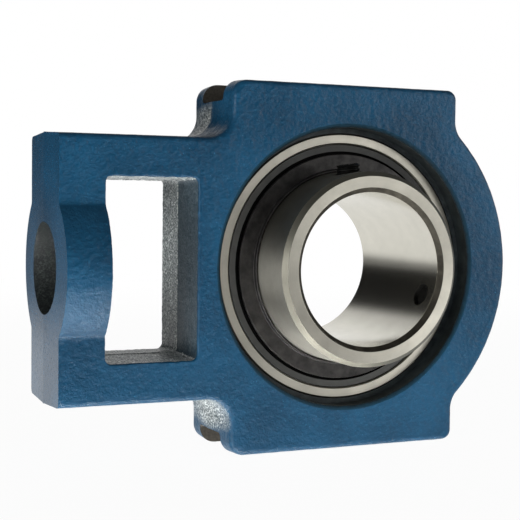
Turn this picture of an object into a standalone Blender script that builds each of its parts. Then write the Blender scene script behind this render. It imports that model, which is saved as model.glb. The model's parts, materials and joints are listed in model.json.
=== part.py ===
"""Take-up bearing unit: a self-aligning insert ball bearing in a cast housing that slides between two rails.

Lengths are metres. X is the take-up travel, with the screw nose at -X. Y is the shaft, with the set screws
at -Y. Z is up. The origin lies on the floor of the lower guide groove, straight below the bearing centre.
"""

import math

import bmesh
import bpy
from mathutils import Matrix, Vector

# Clearances between neighbouring pieces
SEAT_GAP = 0.0003
RUNNING_GAP = 0.0002

# Insert bearing, from the shaft outward
BORE_DIAMETER = 0.060
RACE_WALL = 0.0045625
BALL_DIAMETER = 0.015875
BALL_COUNT = 10
RACEWAY_CONFORMITY = 0.52
LAND_GAP = 0.0045
SEAL_SEAT_STEP = 0.0024
OUTER_RING_WIDTH = 0.027
OUTER_RING_CHAMFER = 0.0004
INNER_RING_FRONT = 0.0397
INNER_RING_REAR = 0.0254
INNER_RING_CHAMFER = 0.0018
BORE_CHAMFER = 0.0018

# Cage: two pressed ribbons riveted together
CAGE_THICKNESS = 0.001
CAGE_LAND_CLEARANCE = 0.002
CAGE_SPLIT = 0.0003
RIVET_RADIUS = 0.001
RIVET_HEAD_RADIUS = 0.0019
RIVET_HEAD_TOP_RADIUS = 0.0013
RIVET_HEAD_HEIGHT = 0.0007

# Seals and flingers
SEAL_RECESS = 0.0006
SEAL_THICKNESS = 0.0012
SEAL_BEAD_THICKNESS = 0.0016
SEAL_BEAD_WIDTH = 0.0015
SEAL_LIP_LENGTH = 0.0013
SEAL_LIP_THICKNESS = 0.0007
FLINGER_SETBACK = 0.0041
FLINGER_THICKNESS = 0.0009
FLINGER_PROUD = 0.0009
FLINGER_COLLAR_LENGTH = 0.0018

# Set screws
SET_SCREW_DIAMETER = 0.010
SET_SCREW_LENGTH = 0.010
SET_SCREW_INSET = 0.0106
SET_SCREW_PROUD = 0.0032
SET_SCREW_SOCKET_WIDTH = 0.005
SET_SCREW_SOCKET_DEPTH = 0.0045
SET_SCREW_CHAMFER = 0.0012
SET_SCREW_CLOCK = math.radians(98.7)
SET_SCREW_SPACING = math.radians(-120)

# Housing: bearing seat, with its lubrication groove and loading slots
SEAT_WIDTH = 0.026
BORE_RELIEF = 0.0007
BORE_EDGE_BREAK = 0.0012
LUBE_GROOVE_PLANE = 0.008
LUBE_GROOVE_WIDTH = 0.003
LUBE_GROOVE_DEPTH = 0.0015
LUBE_HOLE_RADIUS = 0.0012
LOADING_SLOT_CLEARANCE = 0.0005
LOADING_SLOT_RELIEF = 0.00015
LOADING_SLOT_START = 0.001

# Housing: slab, guides, nose and tail, from the bore outward
SLAB_THICKNESS = 0.042
TAIL_WALL = 0.0193
GUIDE_FLOOR_WALL = 0.0093
FLANGE_HEIGHT = 0.008
GUIDE_WIDTH = 0.022
GUIDE_LENGTH = 0.102
GUIDE_SHIFT = -0.001
SHOULDER_HEIGHT = 0.022
DRAFT_ANGLE = math.radians(2.5)
EDGE_ROUND = 0.002
GUIDE_ROOT_RADIUS = 0.0015
GUIDE_NOSE_CORNER = 0.007
GUIDE_TAIL_CORNER = 0.005
SHOULDER_FILLET = 0.009
NECK_FILLET = 0.009
NOSE_CORNER = 0.0045

# Housing: nut window, adjusting-screw hole and its boss
WINDOW_WALL = 0.0101
WINDOW_LENGTH = 0.0345
WINDOW_HEIGHT = 0.0675
WINDOW_CORNER = 0.003
NOSE_WALL = 0.0187
BOSS_RADIUS = 0.032
BOSS_PROUD = 0.0002
SCREW_HOLE_RADIUS = 0.0175

# Grease nipple
NIPPLE_TILT = math.radians(35)
NIPPLE_THREAD_RADIUS = 0.003
NIPPLE_THREAD_LENGTH = 0.0055
NIPPLE_HEX_WIDTH = 0.008
NIPPLE_HEX_HEIGHT = 0.0032
NIPPLE_NECK_RADIUS = 0.0022
NIPPLE_NECK_LENGTH = 0.0015
NIPPLE_HEAD_RADIUS = 0.00325
NIPPLE_HEAD_LENGTH = 0.003
NIPPLE_MOUTH_RADIUS = 0.0009
NIPPLE_MOUTH_DEPTH = 0.0025
NIPPLE_SPOTFACE_MARGIN = 0.001
NIPPLE_SPOTFACE_DEPTH = 0.0012
NIPPLE_PASSAGE_RADIUS = 0.0015

# Facets
RING_STEPS = 48
LARGE_ROUND_STEPS = 40
BOSS_STEPS = 36
MEDIUM_ROUND_STEPS = 20
SMALL_ROUND_STEPS = 12
TINY_ROUND_STEPS = 6
HEX_SIDES = 6
BALL_SEGMENTS = 12
BALL_RINGS = 7
SPHERE_STEPS = 4
SEAT_FRONT_STEPS = 3
SEAT_REAR_STEPS = 2
RACEWAY_STEPS = 5
POCKET_STEPS = 6
CORNER_STEPS = 4
FILLET_STEPS = 5
EDGE_STEPS = 3
TAIL_STEPS = 18
SHARP_ANGLE = math.radians(30)
TOOL_REACH = 0.004

# Sizes that follow from those above
BALL_RADIUS = BALL_DIAMETER / 2
PITCH_RADIUS = BORE_DIAMETER / 2 + RACE_WALL + BALL_RADIUS
RACEWAY_RADIUS = RACEWAY_CONFORMITY * BALL_DIAMETER
INNER_RING_RADIUS = PITCH_RADIUS - LAND_GAP
OUTER_LAND_RADIUS = PITCH_RADIUS + LAND_GAP
SEAL_SEAT_RADIUS = OUTER_LAND_RADIUS + SEAL_SEAT_STEP
SEAL_SEAT_DEPTH = SEAL_RECESS + SEAL_BEAD_THICKNESS + SEAT_GAP
RING_SPHERE_RADIUS = PITCH_RADIUS + BALL_RADIUS + RACE_WALL
HALF_RING = OUTER_RING_WIDTH / 2
CAGE_HALF_WIDTH = LAND_GAP - CAGE_LAND_CLEARANCE
SET_SCREW_PLANE = SET_SCREW_INSET - INNER_RING_FRONT
SET_SCREW_TOP_RADIUS = INNER_RING_RADIUS + SET_SCREW_PROUD
SEAT_RADIUS = RING_SPHERE_RADIUS + SEAT_GAP
HOUSING_BORE_RADIUS = RING_SPHERE_RADIUS + BORE_RELIEF
TAIL_RADIUS = HOUSING_BORE_RADIUS + TAIL_WALL
BEARING_HEIGHT = HOUSING_BORE_RADIUS + GUIDE_FLOOR_WALL
FLANGE_TOP = BEARING_HEIGHT + FLANGE_HEIGHT
NOSE_TOP = FLANGE_TOP - SHOULDER_HEIGHT
HALF_SLAB = SLAB_THICKNESS / 2
WINDOW_NOSE_SIDE = -HOUSING_BORE_RADIUS - WINDOW_WALL - WINDOW_LENGTH
WINDOW_CENTRE = WINDOW_NOSE_SIDE + WINDOW_LENGTH / 2
NOSE_END = WINDOW_NOSE_SIDE - NOSE_WALL


def clear_scene():
    for item in list(bpy.data.objects):
        bpy.data.objects.remove(item)


def arc(centre_x, centre_y, radius, start, end, steps):
    """Points along an arc between two angles in degrees, both ends included."""
    points = []
    for step in range(steps + 1):
        angle = math.radians(start + (end - start) * step / steps)
        points.append((centre_x + radius * math.cos(angle), centre_y + radius * math.sin(angle)))
    return points


def circle(radius, steps):
    return arc(0, 0, radius, 0, 360, steps)[:-1]


def draft_inset(y):
    """How far a drafted wall draws in between the parting plane and y."""
    return abs(y) * math.tan(DRAFT_ANGLE)


def finish(name, colour, metallic, roughness):
    material = bpy.data.materials.new(name)
    material.use_nodes = True
    shader = material.node_tree.nodes["Principled BSDF"]
    shader.inputs["Base Color"].default_value = (*colour, 1)
    shader.inputs["Metallic"].default_value = metallic
    shader.inputs["Roughness"].default_value = roughness
    return material


def mesh_of(bm, name):
    """The bmesh as a smooth-shaded mesh with outward normals."""
    bmesh.ops.recalc_face_normals(bm, faces=bm.faces)
    mesh = bpy.data.meshes.new(name)
    bm.to_mesh(mesh)
    bm.free()
    mesh.shade_smooth()
    mesh.set_sharp_from_angle(angle=SHARP_ANGLE)
    return mesh


def lofted(name, rings, ridge=None):
    """A solid through rings of equal point counts. A ridge is a pair of points that folds the first cap."""
    bm = bmesh.new()
    layers = [[bm.verts.new(point) for point in ring] for ring in rings]
    for lower, upper in zip(layers, layers[1:]):
        for index in range(len(lower)):
            after = (index + 1) % len(lower)
            bm.faces.new((lower[index], lower[after], upper[after], upper[index]))
    first_cap = bm.faces.new(layers[0])
    bm.faces.new(layers[-1])
    if ridge:
        bmesh.utils.face_split(first_cap, layers[0][ridge[0]], layers[0][ridge[1]])
    return mesh_of(bm, name)


def turned(name, profile, steps=RING_STEPS, axis="Y"):
    """A solid of revolution from (radius, height) points. A profile that leaves the axis is a closed ring."""
    bm = bmesh.new()
    if axis == "Y":
        verts = [bm.verts.new((radius, height, 0)) for radius, height in profile]
    else:
        verts = [bm.verts.new((radius, 0, height)) for radius, height in profile]
    edges = [bm.edges.new(pair) for pair in zip(verts, verts[1:])]
    if profile[0][0] > 0:
        edges.append(bm.edges.new((verts[-1], verts[0])))
    bmesh.ops.spin(
        bm,
        geom=verts + edges,
        cent=(0, 0, 0),
        axis=(0, 1, 0) if axis == "Y" else (0, 0, 1),
        angle=math.tau,
        steps=steps,
        use_merge=True,
    )
    bmesh.ops.remove_doubles(bm, verts=bm.verts, dist=1e-6)
    return mesh_of(bm, name)


def place(name, mesh, parent, location=(0, 0, 0), rotation=None, material=None):
    """A new object under a parent. Without a material it is a cutting tool, left out of the model."""
    item = bpy.data.objects.new(name, mesh)
    bpy.context.scene.collection.objects.link(item)
    item.parent = parent
    item.location = location
    if rotation:
        item.rotation_euler = rotation.to_euler()
    if material is None:
        item.hide_render = True
        item.display_type = "WIRE"
    elif not mesh.materials:
        mesh.materials.append(material)
    return item


def combine(target, tool, operation="DIFFERENCE"):
    modifier = target.modifiers.new(tool.name, "BOOLEAN")
    modifier.operation = operation
    modifier.object = tool


def rod(name, parent, radius, start, end, steps):
    """A cylindrical cutting tool between two points."""
    start = Vector(start)
    along = Vector(end) - start
    mesh = turned(name, [(0, 0), (radius, 0), (radius, along.length), (0, along.length)], steps, "Z")
    turn = Vector((0, 0, 1)).rotation_difference(along).to_matrix()
    return place(name, mesh, parent, start, turn)


def housing_outline(inset):
    """The casting's (x, z) outline about the bearing centre, drawn in by the inset all round."""
    nose = NOSE_END + BOSS_PROUD
    guide_nose = GUIDE_SHIFT - GUIDE_LENGTH / 2
    guide_tail = GUIDE_SHIFT + GUIDE_LENGTH / 2
    top = FLANGE_TOP + draft_inset(GUIDE_WIDTH / 2)
    neck_x = guide_tail + NECK_FILLET
    neck_z = math.sqrt((TAIL_RADIUS + NECK_FILLET) ** 2 - neck_x**2)
    meet = math.degrees(math.atan2(neck_z, neck_x))

    def convex(x, z, radius, start, end, steps=CORNER_STEPS):
        return arc(x, z, radius - inset, start, end, steps)

    def concave(x, z, radius, start, end):
        return arc(x, z, radius + inset, start, end, FILLET_STEPS)

    upper = convex(nose + NOSE_CORNER, NOSE_TOP - NOSE_CORNER, NOSE_CORNER, 180, 90)
    upper += concave(guide_nose - SHOULDER_FILLET, NOSE_TOP + SHOULDER_FILLET, SHOULDER_FILLET, 270, 360)
    upper += convex(guide_nose + GUIDE_NOSE_CORNER, top - GUIDE_NOSE_CORNER, GUIDE_NOSE_CORNER, 180, 90)
    upper += convex(guide_tail - GUIDE_TAIL_CORNER, top - GUIDE_TAIL_CORNER, GUIDE_TAIL_CORNER, 90, 0)
    upper += concave(neck_x, neck_z, NECK_FILLET, 180, 180 + meet)[:-1]
    tail = convex(0, 0, TAIL_RADIUS, meet, -meet, TAIL_STEPS)
    return upper + tail + [(x, -z) for x, z in reversed(upper)]


def slab_mesh():
    """The drafted slab with its edges rounded at both faces."""
    flat = HALF_SLAB - EDGE_ROUND
    half = []
    for z_out, y_out in arc(0, 0, EDGE_ROUND, 0, 90, EDGE_STEPS):
        half.append((flat + y_out, draft_inset(flat) + EDGE_ROUND - z_out))
    sections = [(-y, inset) for y, inset in reversed(half)] + [(0, 0)] + half
    return lofted("housing", [[(x, y, z) for x, z in housing_outline(inset)] for y, inset in sections])


def boss_mesh():
    """The round boss at the nose, with a drafted end that folds along the parting plane."""
    rings = []
    for inward, outward in arc(0, 0, EDGE_ROUND, 0, 90, EDGE_STEPS):
        ring = circle(BOSS_RADIUS - EDGE_ROUND + outward, BOSS_STEPS)
        setback = EDGE_ROUND - inward
        rings.append([(NOSE_END + setback + draft_inset(y), y, z) for z, y in ring])
    rings.append([(WINDOW_CENTRE, y, z) for z, y in circle(BOSS_RADIUS, BOSS_STEPS)])
    return lofted("boss", rings, ridge=(0, BOSS_STEPS // 2))


def window_mesh():
    """The window's tool: a rounded rectangle, narrowest at the parting plane."""
    reach = BOSS_RADIUS + TOOL_REACH
    rings = []
    for y in (-reach, 0, reach):
        corner = WINDOW_CORNER + draft_inset(y)
        half_length = WINDOW_LENGTH / 2 - WINDOW_CORNER
        half_height = WINDOW_HEIGHT / 2 - WINDOW_CORNER
        ring = []
        for turn, side_x, side_z in ((0, 1, 1), (90, -1, 1), (180, -1, -1), (270, 1, -1)):
            x = WINDOW_CENTRE + side_x * half_length
            ring += arc(x, side_z * half_height, corner, turn, turn + 90, CORNER_STEPS)
        rings.append([(x, y, z) for x, z in ring])
    return lofted("window_tool", rings)


def guide_groove_mesh(side):
    """The tool for one guide groove: side 1 is the upper, -1 the lower."""
    root_y = GUIDE_WIDTH / 2 - GUIDE_ROOT_RADIUS
    root_z = BEARING_HEIGHT + GUIDE_ROOT_RADIUS
    mouth = FLANGE_TOP + TOOL_REACH
    section = [(-GUIDE_WIDTH / 2, mouth)]
    section += arc(-root_y, root_z, GUIDE_ROOT_RADIUS, 180, 270, EDGE_STEPS)
    section += arc(root_y, root_z, GUIDE_ROOT_RADIUS, 270, 360, EDGE_STEPS)
    section.append((GUIDE_WIDTH / 2, mouth))
    half_length = GUIDE_LENGTH / 2 + TOOL_REACH
    ends = (GUIDE_SHIFT - half_length, GUIDE_SHIFT + half_length)
    return lofted("guide_tool", [[(x, y, side * z) for y, z in section] for x in ends])


def sphere_radius_at(radius, y):
    return math.sqrt(radius**2 - y**2)


def sphere_profile(radius, start, end, steps):
    """(radius, y) points along a sphere between two planes."""
    first = math.degrees(math.asin(start / radius))
    last = math.degrees(math.asin(end / radius))
    return arc(0, 0, radius, first, last, steps)


def bore_mesh():
    """The bore's tool: edge breaks, plain walls and the spherical seat with its lubrication groove."""
    half_seat = SEAT_WIDTH / 2
    outside = HALF_SLAB + TOOL_REACH
    flare = HOUSING_BORE_RADIUS + BORE_EDGE_BREAK + TOOL_REACH
    edge = HALF_SLAB - BORE_EDGE_BREAK
    groove_front = LUBE_GROOVE_PLANE - LUBE_GROOVE_WIDTH / 2
    groove_rear = LUBE_GROOVE_PLANE + LUBE_GROOVE_WIDTH / 2
    groove_radius = sphere_radius_at(SEAT_RADIUS, LUBE_GROOVE_PLANE) + LUBE_GROOVE_DEPTH
    profile = [(0, -outside), (flare, -outside), (HOUSING_BORE_RADIUS, -edge)]
    profile.append((HOUSING_BORE_RADIUS, -half_seat))
    profile += sphere_profile(SEAT_RADIUS, -half_seat, groove_front, SEAT_FRONT_STEPS)
    profile += [(groove_radius, groove_front), (groove_radius, groove_rear)]
    profile += sphere_profile(SEAT_RADIUS, groove_rear, half_seat, SEAT_REAR_STEPS)
    profile += [(HOUSING_BORE_RADIUS, half_seat), (HOUSING_BORE_RADIUS, edge)]
    profile += [(flare, outside), (0, outside)]
    return turned("bore_tool", profile)


def loading_slot_mesh():
    """The tool for the two slots through which the outer ring enters edge on, from the rear."""
    half_width = HALF_RING + LOADING_SLOT_CLEARANCE
    radius = SEAT_RADIUS + LOADING_SLOT_RELIEF
    spread = math.degrees(math.asin(half_width / radius))
    outline = arc(0, 0, radius, 90 - spread, 90 + spread, FILLET_STEPS)
    outline += arc(0, 0, radius, 270 - spread, 270 + spread, FILLET_STEPS)
    ends = (LOADING_SLOT_START, HALF_SLAB - BORE_EDGE_BREAK)
    return lofted("slot_tool", [[(x, y, z) for x, z in outline] for y in ends])


def nipple_seat():
    """The nipple's seat point on the rear face and its outward direction, about the bearing centre."""
    outward = Vector((math.sin(NIPPLE_TILT), math.cos(NIPPLE_TILT), 0))
    aim_radius = sphere_radius_at(SEAT_RADIUS, LUBE_GROOVE_PLANE)
    run = (HALF_SLAB - LUBE_GROOVE_PLANE) / outward.y
    face_point = Vector((aim_radius, LUBE_GROOVE_PLANE, 0)) + outward * run
    return face_point - outward * NIPPLE_SPOTFACE_DEPTH, outward, run


def hex_radius(width):
    """Corner radius of a hexagon from its width across flats."""
    return width / math.sqrt(3)


def make_housing(centre, paint):
    housing = place("housing", slab_mesh(), centre, material=paint)
    combine(housing, place("boss_tool", boss_mesh(), centre), "UNION")
    combine(housing, place("window_tool", window_mesh(), centre))
    combine(housing, place("upper_guide_tool", guide_groove_mesh(1), centre))
    combine(housing, place("lower_guide_tool", guide_groove_mesh(-1), centre))
    hole_ends = ((NOSE_END - TOOL_REACH, 0, 0), (WINDOW_CENTRE, 0, 0))
    combine(housing, rod("screw_hole_tool", centre, SCREW_HOLE_RADIUS, *hole_ends, LARGE_ROUND_STEPS))
    combine(housing, place("bore_tool", bore_mesh(), centre))
    combine(housing, place("loading_slot_tool", loading_slot_mesh(), centre))
    seat, outward, run = nipple_seat()
    spotface = hex_radius(NIPPLE_HEX_WIDTH) + NIPPLE_SPOTFACE_MARGIN
    above = seat + outward * (NIPPLE_SPOTFACE_DEPTH + TOOL_REACH + spotface)
    thread_end = seat - outward * (NIPPLE_THREAD_LENGTH + SEAT_GAP)
    passage_end = seat - outward * (run - LUBE_GROOVE_DEPTH / 2)
    combine(housing, rod("spotface_tool", centre, spotface, seat, above, MEDIUM_ROUND_STEPS))
    tapping = NIPPLE_THREAD_RADIUS + SEAT_GAP
    combine(housing, rod("tapping_tool", centre, tapping, thread_end, above, SMALL_ROUND_STEPS))
    combine(housing, rod("passage_tool", centre, NIPPLE_PASSAGE_RADIUS, passage_end, above, TINY_ROUND_STEPS))


def raceway(centre_radius, land_radius, side):
    """The groove's (radius, y) arc from front land to rear land: side 1 is the outer race, -1 the inner."""
    rise = side * (land_radius - centre_radius)
    spread = math.degrees(math.acos(rise / RACEWAY_RADIUS))
    if side > 0:
        return arc(centre_radius, 0, RACEWAY_RADIUS, -spread, spread, RACEWAY_STEPS)
    return arc(centre_radius, 0, RACEWAY_RADIUS, 180 + spread, 180 - spread, RACEWAY_STEPS)


def outer_ring_profile():
    half_sphere = HALF_RING - OUTER_RING_CHAMFER
    sphere = sphere_profile(RING_SPHERE_RADIUS, -half_sphere, half_sphere, SPHERE_STEPS)
    corner_radius = sphere[0][0] - OUTER_RING_CHAMFER
    race_centre = PITCH_RADIUS + BALL_RADIUS + RUNNING_GAP - RACEWAY_RADIUS
    shoulder = HALF_RING - SEAL_SEAT_DEPTH
    rear = [
        (corner_radius, HALF_RING),
        (SEAL_SEAT_RADIUS + OUTER_RING_CHAMFER, HALF_RING),
        (SEAL_SEAT_RADIUS, half_sphere),
        (SEAL_SEAT_RADIUS, shoulder),
        (OUTER_LAND_RADIUS, shoulder),
    ]
    front = [(radius, -y) for radius, y in reversed(rear)]
    race = raceway(race_centre, OUTER_LAND_RADIUS, 1)
    return sphere + rear + race[::-1] + front


def make_outer_ring(centre, steel):
    ring = place("outer_ring", turned("outer_ring", outer_ring_profile()), centre, material=steel)
    for index, side in enumerate((-1, 1), start=1):
        start = (0, LUBE_GROOVE_PLANE, side * (OUTER_LAND_RADIUS - TOOL_REACH))
        end = (0, LUBE_GROOVE_PLANE, side * (RING_SPHERE_RADIUS + TOOL_REACH))
        combine(ring, rod(f"lube_hole_tool_{index}", centre, LUBE_HOLE_RADIUS, start, end, TINY_ROUND_STEPS))


def inner_ring_profile():
    bore = BORE_DIAMETER / 2
    race_centre = PITCH_RADIUS - BALL_RADIUS - RUNNING_GAP + RACEWAY_RADIUS
    profile = [
        (bore, BORE_CHAMFER - INNER_RING_FRONT),
        (bore + BORE_CHAMFER, -INNER_RING_FRONT),
        (INNER_RING_RADIUS - INNER_RING_CHAMFER, -INNER_RING_FRONT),
        (INNER_RING_RADIUS, INNER_RING_CHAMFER - INNER_RING_FRONT),
    ]
    profile += raceway(race_centre, INNER_RING_RADIUS, -1)
    profile += [
        (INNER_RING_RADIUS, INNER_RING_REAR - INNER_RING_CHAMFER),
        (INNER_RING_RADIUS - INNER_RING_CHAMFER, INNER_RING_REAR),
        (bore + BORE_CHAMFER, INNER_RING_REAR),
        (bore, INNER_RING_REAR - BORE_CHAMFER),
    ]
    return profile


def set_screw_directions():
    for index in range(2):
        angle = SET_SCREW_CLOCK + index * SET_SCREW_SPACING
        yield index + 1, Vector((math.cos(angle), 0, math.sin(angle)))


def make_inner_ring(centre, steel):
    ring = place("inner_ring", turned("inner_ring", inner_ring_profile()), centre, material=steel)
    level = Vector((0, SET_SCREW_PLANE, 0))
    hole = SET_SCREW_DIAMETER / 2
    for index, outward in set_screw_directions():
        start = level + outward * (BORE_DIAMETER / 2 - TOOL_REACH)
        end = level + outward * (INNER_RING_RADIUS + TOOL_REACH)
        combine(ring, rod(f"set_screw_hole_tool_{index}", centre, hole, start, end, MEDIUM_ROUND_STEPS))


def make_set_screws(centre, black):
    radius = SET_SCREW_DIAMETER / 2 - SEAT_GAP
    chamfer = SET_SCREW_CHAMFER
    profile = [
        (0, chamfer / 2),
        (radius - 2 * chamfer, 0),
        (radius - chamfer, 0),
        (radius, chamfer),
        (radius, SET_SCREW_LENGTH - chamfer / 2),
        (radius - chamfer / 2, SET_SCREW_LENGTH),
        (0, SET_SCREW_LENGTH),
    ]
    for index, outward in set_screw_directions():
        tip = Vector((0, SET_SCREW_PLANE, 0)) + outward * (SET_SCREW_TOP_RADIUS - SET_SCREW_LENGTH)
        turn = Vector((0, 0, 1)).rotation_difference(outward).to_matrix()
        mesh = turned(f"set_screw_{index}", profile, MEDIUM_ROUND_STEPS, "Z")
        screw = place(f"set_screw_{index}", mesh, centre, tip, turn, black)
        top = tip + outward * (SET_SCREW_LENGTH + TOOL_REACH)
        floor = tip + outward * (SET_SCREW_LENGTH - SET_SCREW_SOCKET_DEPTH)
        socket = hex_radius(SET_SCREW_SOCKET_WIDTH)
        combine(screw, rod(f"socket_tool_{index}", centre, socket, floor, top, HEX_SIDES))


def ball_angles():
    """Each ball's clock angle, the first straight above the shaft."""
    return [math.pi / 2 + math.tau * index / BALL_COUNT for index in range(BALL_COUNT)]


def make_balls(centre, steel):
    bm = bmesh.new()
    lay_down = Matrix.Rotation(math.pi / 2, 3, "X")
    bmesh.ops.create_uvsphere(bm, u_segments=BALL_SEGMENTS, v_segments=BALL_RINGS, radius=BALL_RADIUS)
    bmesh.ops.rotate(bm, verts=bm.verts, matrix=lay_down)
    mesh = mesh_of(bm, "ball")
    mesh.shade_smooth()
    for index, angle in enumerate(ball_angles(), start=1):
        location = (PITCH_RADIUS * math.cos(angle), 0, PITCH_RADIUS * math.sin(angle))
        place(f"ball_{index:02d}", mesh, centre, location, material=steel)


def pocket_section():
    """(tangential, axial) point pairs of the ribbon's two faces, from one web over the pocket to the next."""
    inside = BALL_RADIUS + SEAT_GAP
    outside = inside + CAGE_THICKNESS
    web = CAGE_SPLIT / 2
    inner_end = math.degrees(math.acos(web / inside))
    outer_end = math.degrees(math.acos((web + CAGE_THICKNESS) / outside))
    inner = arc(0, 0, inside, 90 + inner_end, 90 - inner_end, POCKET_STEPS)
    outer = arc(0, 0, outside, 90 + outer_end, 90 - outer_end, POCKET_STEPS)
    return list(zip(inner, outer))


def cage_mesh(name, side):
    """One half of the ribbon cage: side -1 is the front half, 1 the rear."""
    inside = PITCH_RADIUS - CAGE_HALF_WIDTH
    outside = PITCH_RADIUS + CAGE_HALF_WIDTH
    rings = []
    for ball_angle in ball_angles():
        for inner, outer in pocket_section():
            ring = []
            corners = ((inside, inner), (outside, inner), (outside, outer), (inside, outer))
            for radius, (along, axial) in corners:
                angle = ball_angle + 2 * math.asin(along / 2 / PITCH_RADIUS)
                ring.append((radius * math.cos(angle), side * axial, radius * math.sin(angle)))
            rings.append(ring)
    bm = bmesh.new()
    layers = [[bm.verts.new(point) for point in ring] for ring in rings]
    for lower, upper in zip(layers, layers[1:] + layers[:1]):
        for index in range(4):
            after = (index + 1) % 4
            bm.faces.new((lower[index], lower[after], upper[after], upper[index]))
    return mesh_of(bm, name)


def make_cage(centre, steel):
    halves = []
    for name, side in (("cage_front", -1), ("cage_rear", 1)):
        halves.append(place(name, cage_mesh(name, side), centre, material=steel))
    reach = CAGE_SPLIT / 2 + CAGE_THICKNESS
    seat = reach + RUNNING_GAP
    profile = [
        (0, -seat - RIVET_HEAD_HEIGHT),
        (RIVET_HEAD_TOP_RADIUS, -seat - RIVET_HEAD_HEIGHT),
        (RIVET_HEAD_RADIUS, -seat),
        (RIVET_RADIUS, -seat),
        (RIVET_RADIUS, seat),
        (RIVET_HEAD_RADIUS, seat),
        (RIVET_HEAD_TOP_RADIUS, seat + RIVET_HEAD_HEIGHT),
        (0, seat + RIVET_HEAD_HEIGHT),
    ]
    mesh = turned("cage_rivet", profile, TINY_ROUND_STEPS)
    drill_profile = [
        (0, -reach - TOOL_REACH),
        (RIVET_RADIUS + SEAT_GAP, -reach - TOOL_REACH),
        (RIVET_RADIUS + SEAT_GAP, reach + TOOL_REACH),
        (0, reach + TOOL_REACH),
    ]
    drill = turned("rivet_hole_tool", drill_profile, TINY_ROUND_STEPS)
    for index, angle in enumerate(ball_angles(), start=1):
        web_angle = angle + math.pi / BALL_COUNT
        location = (PITCH_RADIUS * math.cos(web_angle), 0, PITCH_RADIUS * math.sin(web_angle))
        place(f"cage_rivet_{index:02d}", mesh, centre, location, material=steel)
        tool = place(f"rivet_hole_tool_{index:02d}", drill, centre, location)
        for half in halves:
            combine(half, tool)


def seal_profile():
    """The rear seal's section. Its bead sits in the outer ring and its lip runs on the inner ring."""
    face = HALF_RING - SEAL_RECESS
    bead_back = face - SEAL_BEAD_THICKNESS
    back = face - SEAL_THICKNESS
    bead_radius = SEAL_SEAT_RADIUS - SEAT_GAP
    lip_radius = INNER_RING_RADIUS + SEAT_GAP
    return [
        (bead_radius, face),
        (bead_radius, bead_back),
        (bead_radius - SEAL_BEAD_WIDTH, bead_back),
        (bead_radius - SEAL_BEAD_WIDTH, back),
        (lip_radius + 2 * SEAL_LIP_THICKNESS, back),
        (lip_radius + SEAL_LIP_THICKNESS, back - SEAL_LIP_LENGTH),
        (lip_radius, back - SEAL_LIP_LENGTH),
        (lip_radius + SEAL_LIP_THICKNESS, face),
    ]


def flinger_profile():
    """The rear flinger's section. Its collar grips the inner ring and its rim bends in towards the seal."""
    front = HALF_RING + FLINGER_PROUD
    back = front - FLINGER_THICKNESS
    rim_back = HALF_RING - SEAL_RECESS + SEAT_GAP
    rim = SEAL_SEAT_RADIUS - FLINGER_SETBACK
    bore = INNER_RING_RADIUS + SEAT_GAP
    collar = bore + FLINGER_THICKNESS
    return [
        (bore, back),
        (rim - FLINGER_THICKNESS, back),
        (rim - FLINGER_THICKNESS, rim_back),
        (rim, rim_back),
        (rim, front),
        (collar, front),
        (collar, front + FLINGER_COLLAR_LENGTH),
        (bore, front + FLINGER_COLLAR_LENGTH),
    ]


def make_seals(centre, rubber, dark_steel):
    for end, side in (("front", -1), ("rear", 1)):
        seal = [(radius, side * y) for radius, y in seal_profile()]
        flinger = [(radius, side * y) for radius, y in flinger_profile()]
        place(f"seal_{end}", turned(f"seal_{end}", seal), centre, material=rubber)
        place(f"flinger_{end}", turned(f"flinger_{end}", flinger), centre, material=dark_steel)


def make_nipple(centre, plated):
    seat, outward, _ = nipple_seat()
    hex_bottom = SEAT_GAP
    hex_middle = hex_bottom + NIPPLE_HEX_HEIGHT / 2
    hex_top = hex_bottom + NIPPLE_HEX_HEIGHT
    neck_top = hex_top + NIPPLE_NECK_LENGTH
    tip = neck_top + NIPPLE_HEAD_LENGTH
    bulge = NIPPLE_HEAD_RADIUS - NIPPLE_NECK_RADIUS
    profile = [
        (0, -NIPPLE_THREAD_LENGTH),
        (NIPPLE_THREAD_RADIUS, -NIPPLE_THREAD_LENGTH),
        (NIPPLE_THREAD_RADIUS, hex_middle),
        (NIPPLE_NECK_RADIUS, hex_middle),
        (NIPPLE_NECK_RADIUS, neck_top),
        (NIPPLE_HEAD_RADIUS, neck_top + bulge),
        (NIPPLE_HEAD_RADIUS, tip - bulge),
        (NIPPLE_NECK_RADIUS, tip),
        (NIPPLE_MOUTH_RADIUS, tip),
        (NIPPLE_MOUTH_RADIUS, tip - NIPPLE_MOUTH_DEPTH),
        (0, tip - NIPPLE_MOUTH_DEPTH),
    ]
    turn = Vector((0, 0, 1)).rotation_difference(outward).to_matrix()
    mesh = turned("grease_nipple", profile, SMALL_ROUND_STEPS, "Z")
    nipple = place("grease_nipple", mesh, centre, seat, turn, plated)
    hex_ends = (seat + outward * hex_bottom, seat + outward * hex_top)
    hexagon = rod("nipple_hex_tool", centre, hex_radius(NIPPLE_HEX_WIDTH), *hex_ends, HEX_SIDES)
    combine(nipple, hexagon, "UNION")


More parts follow.
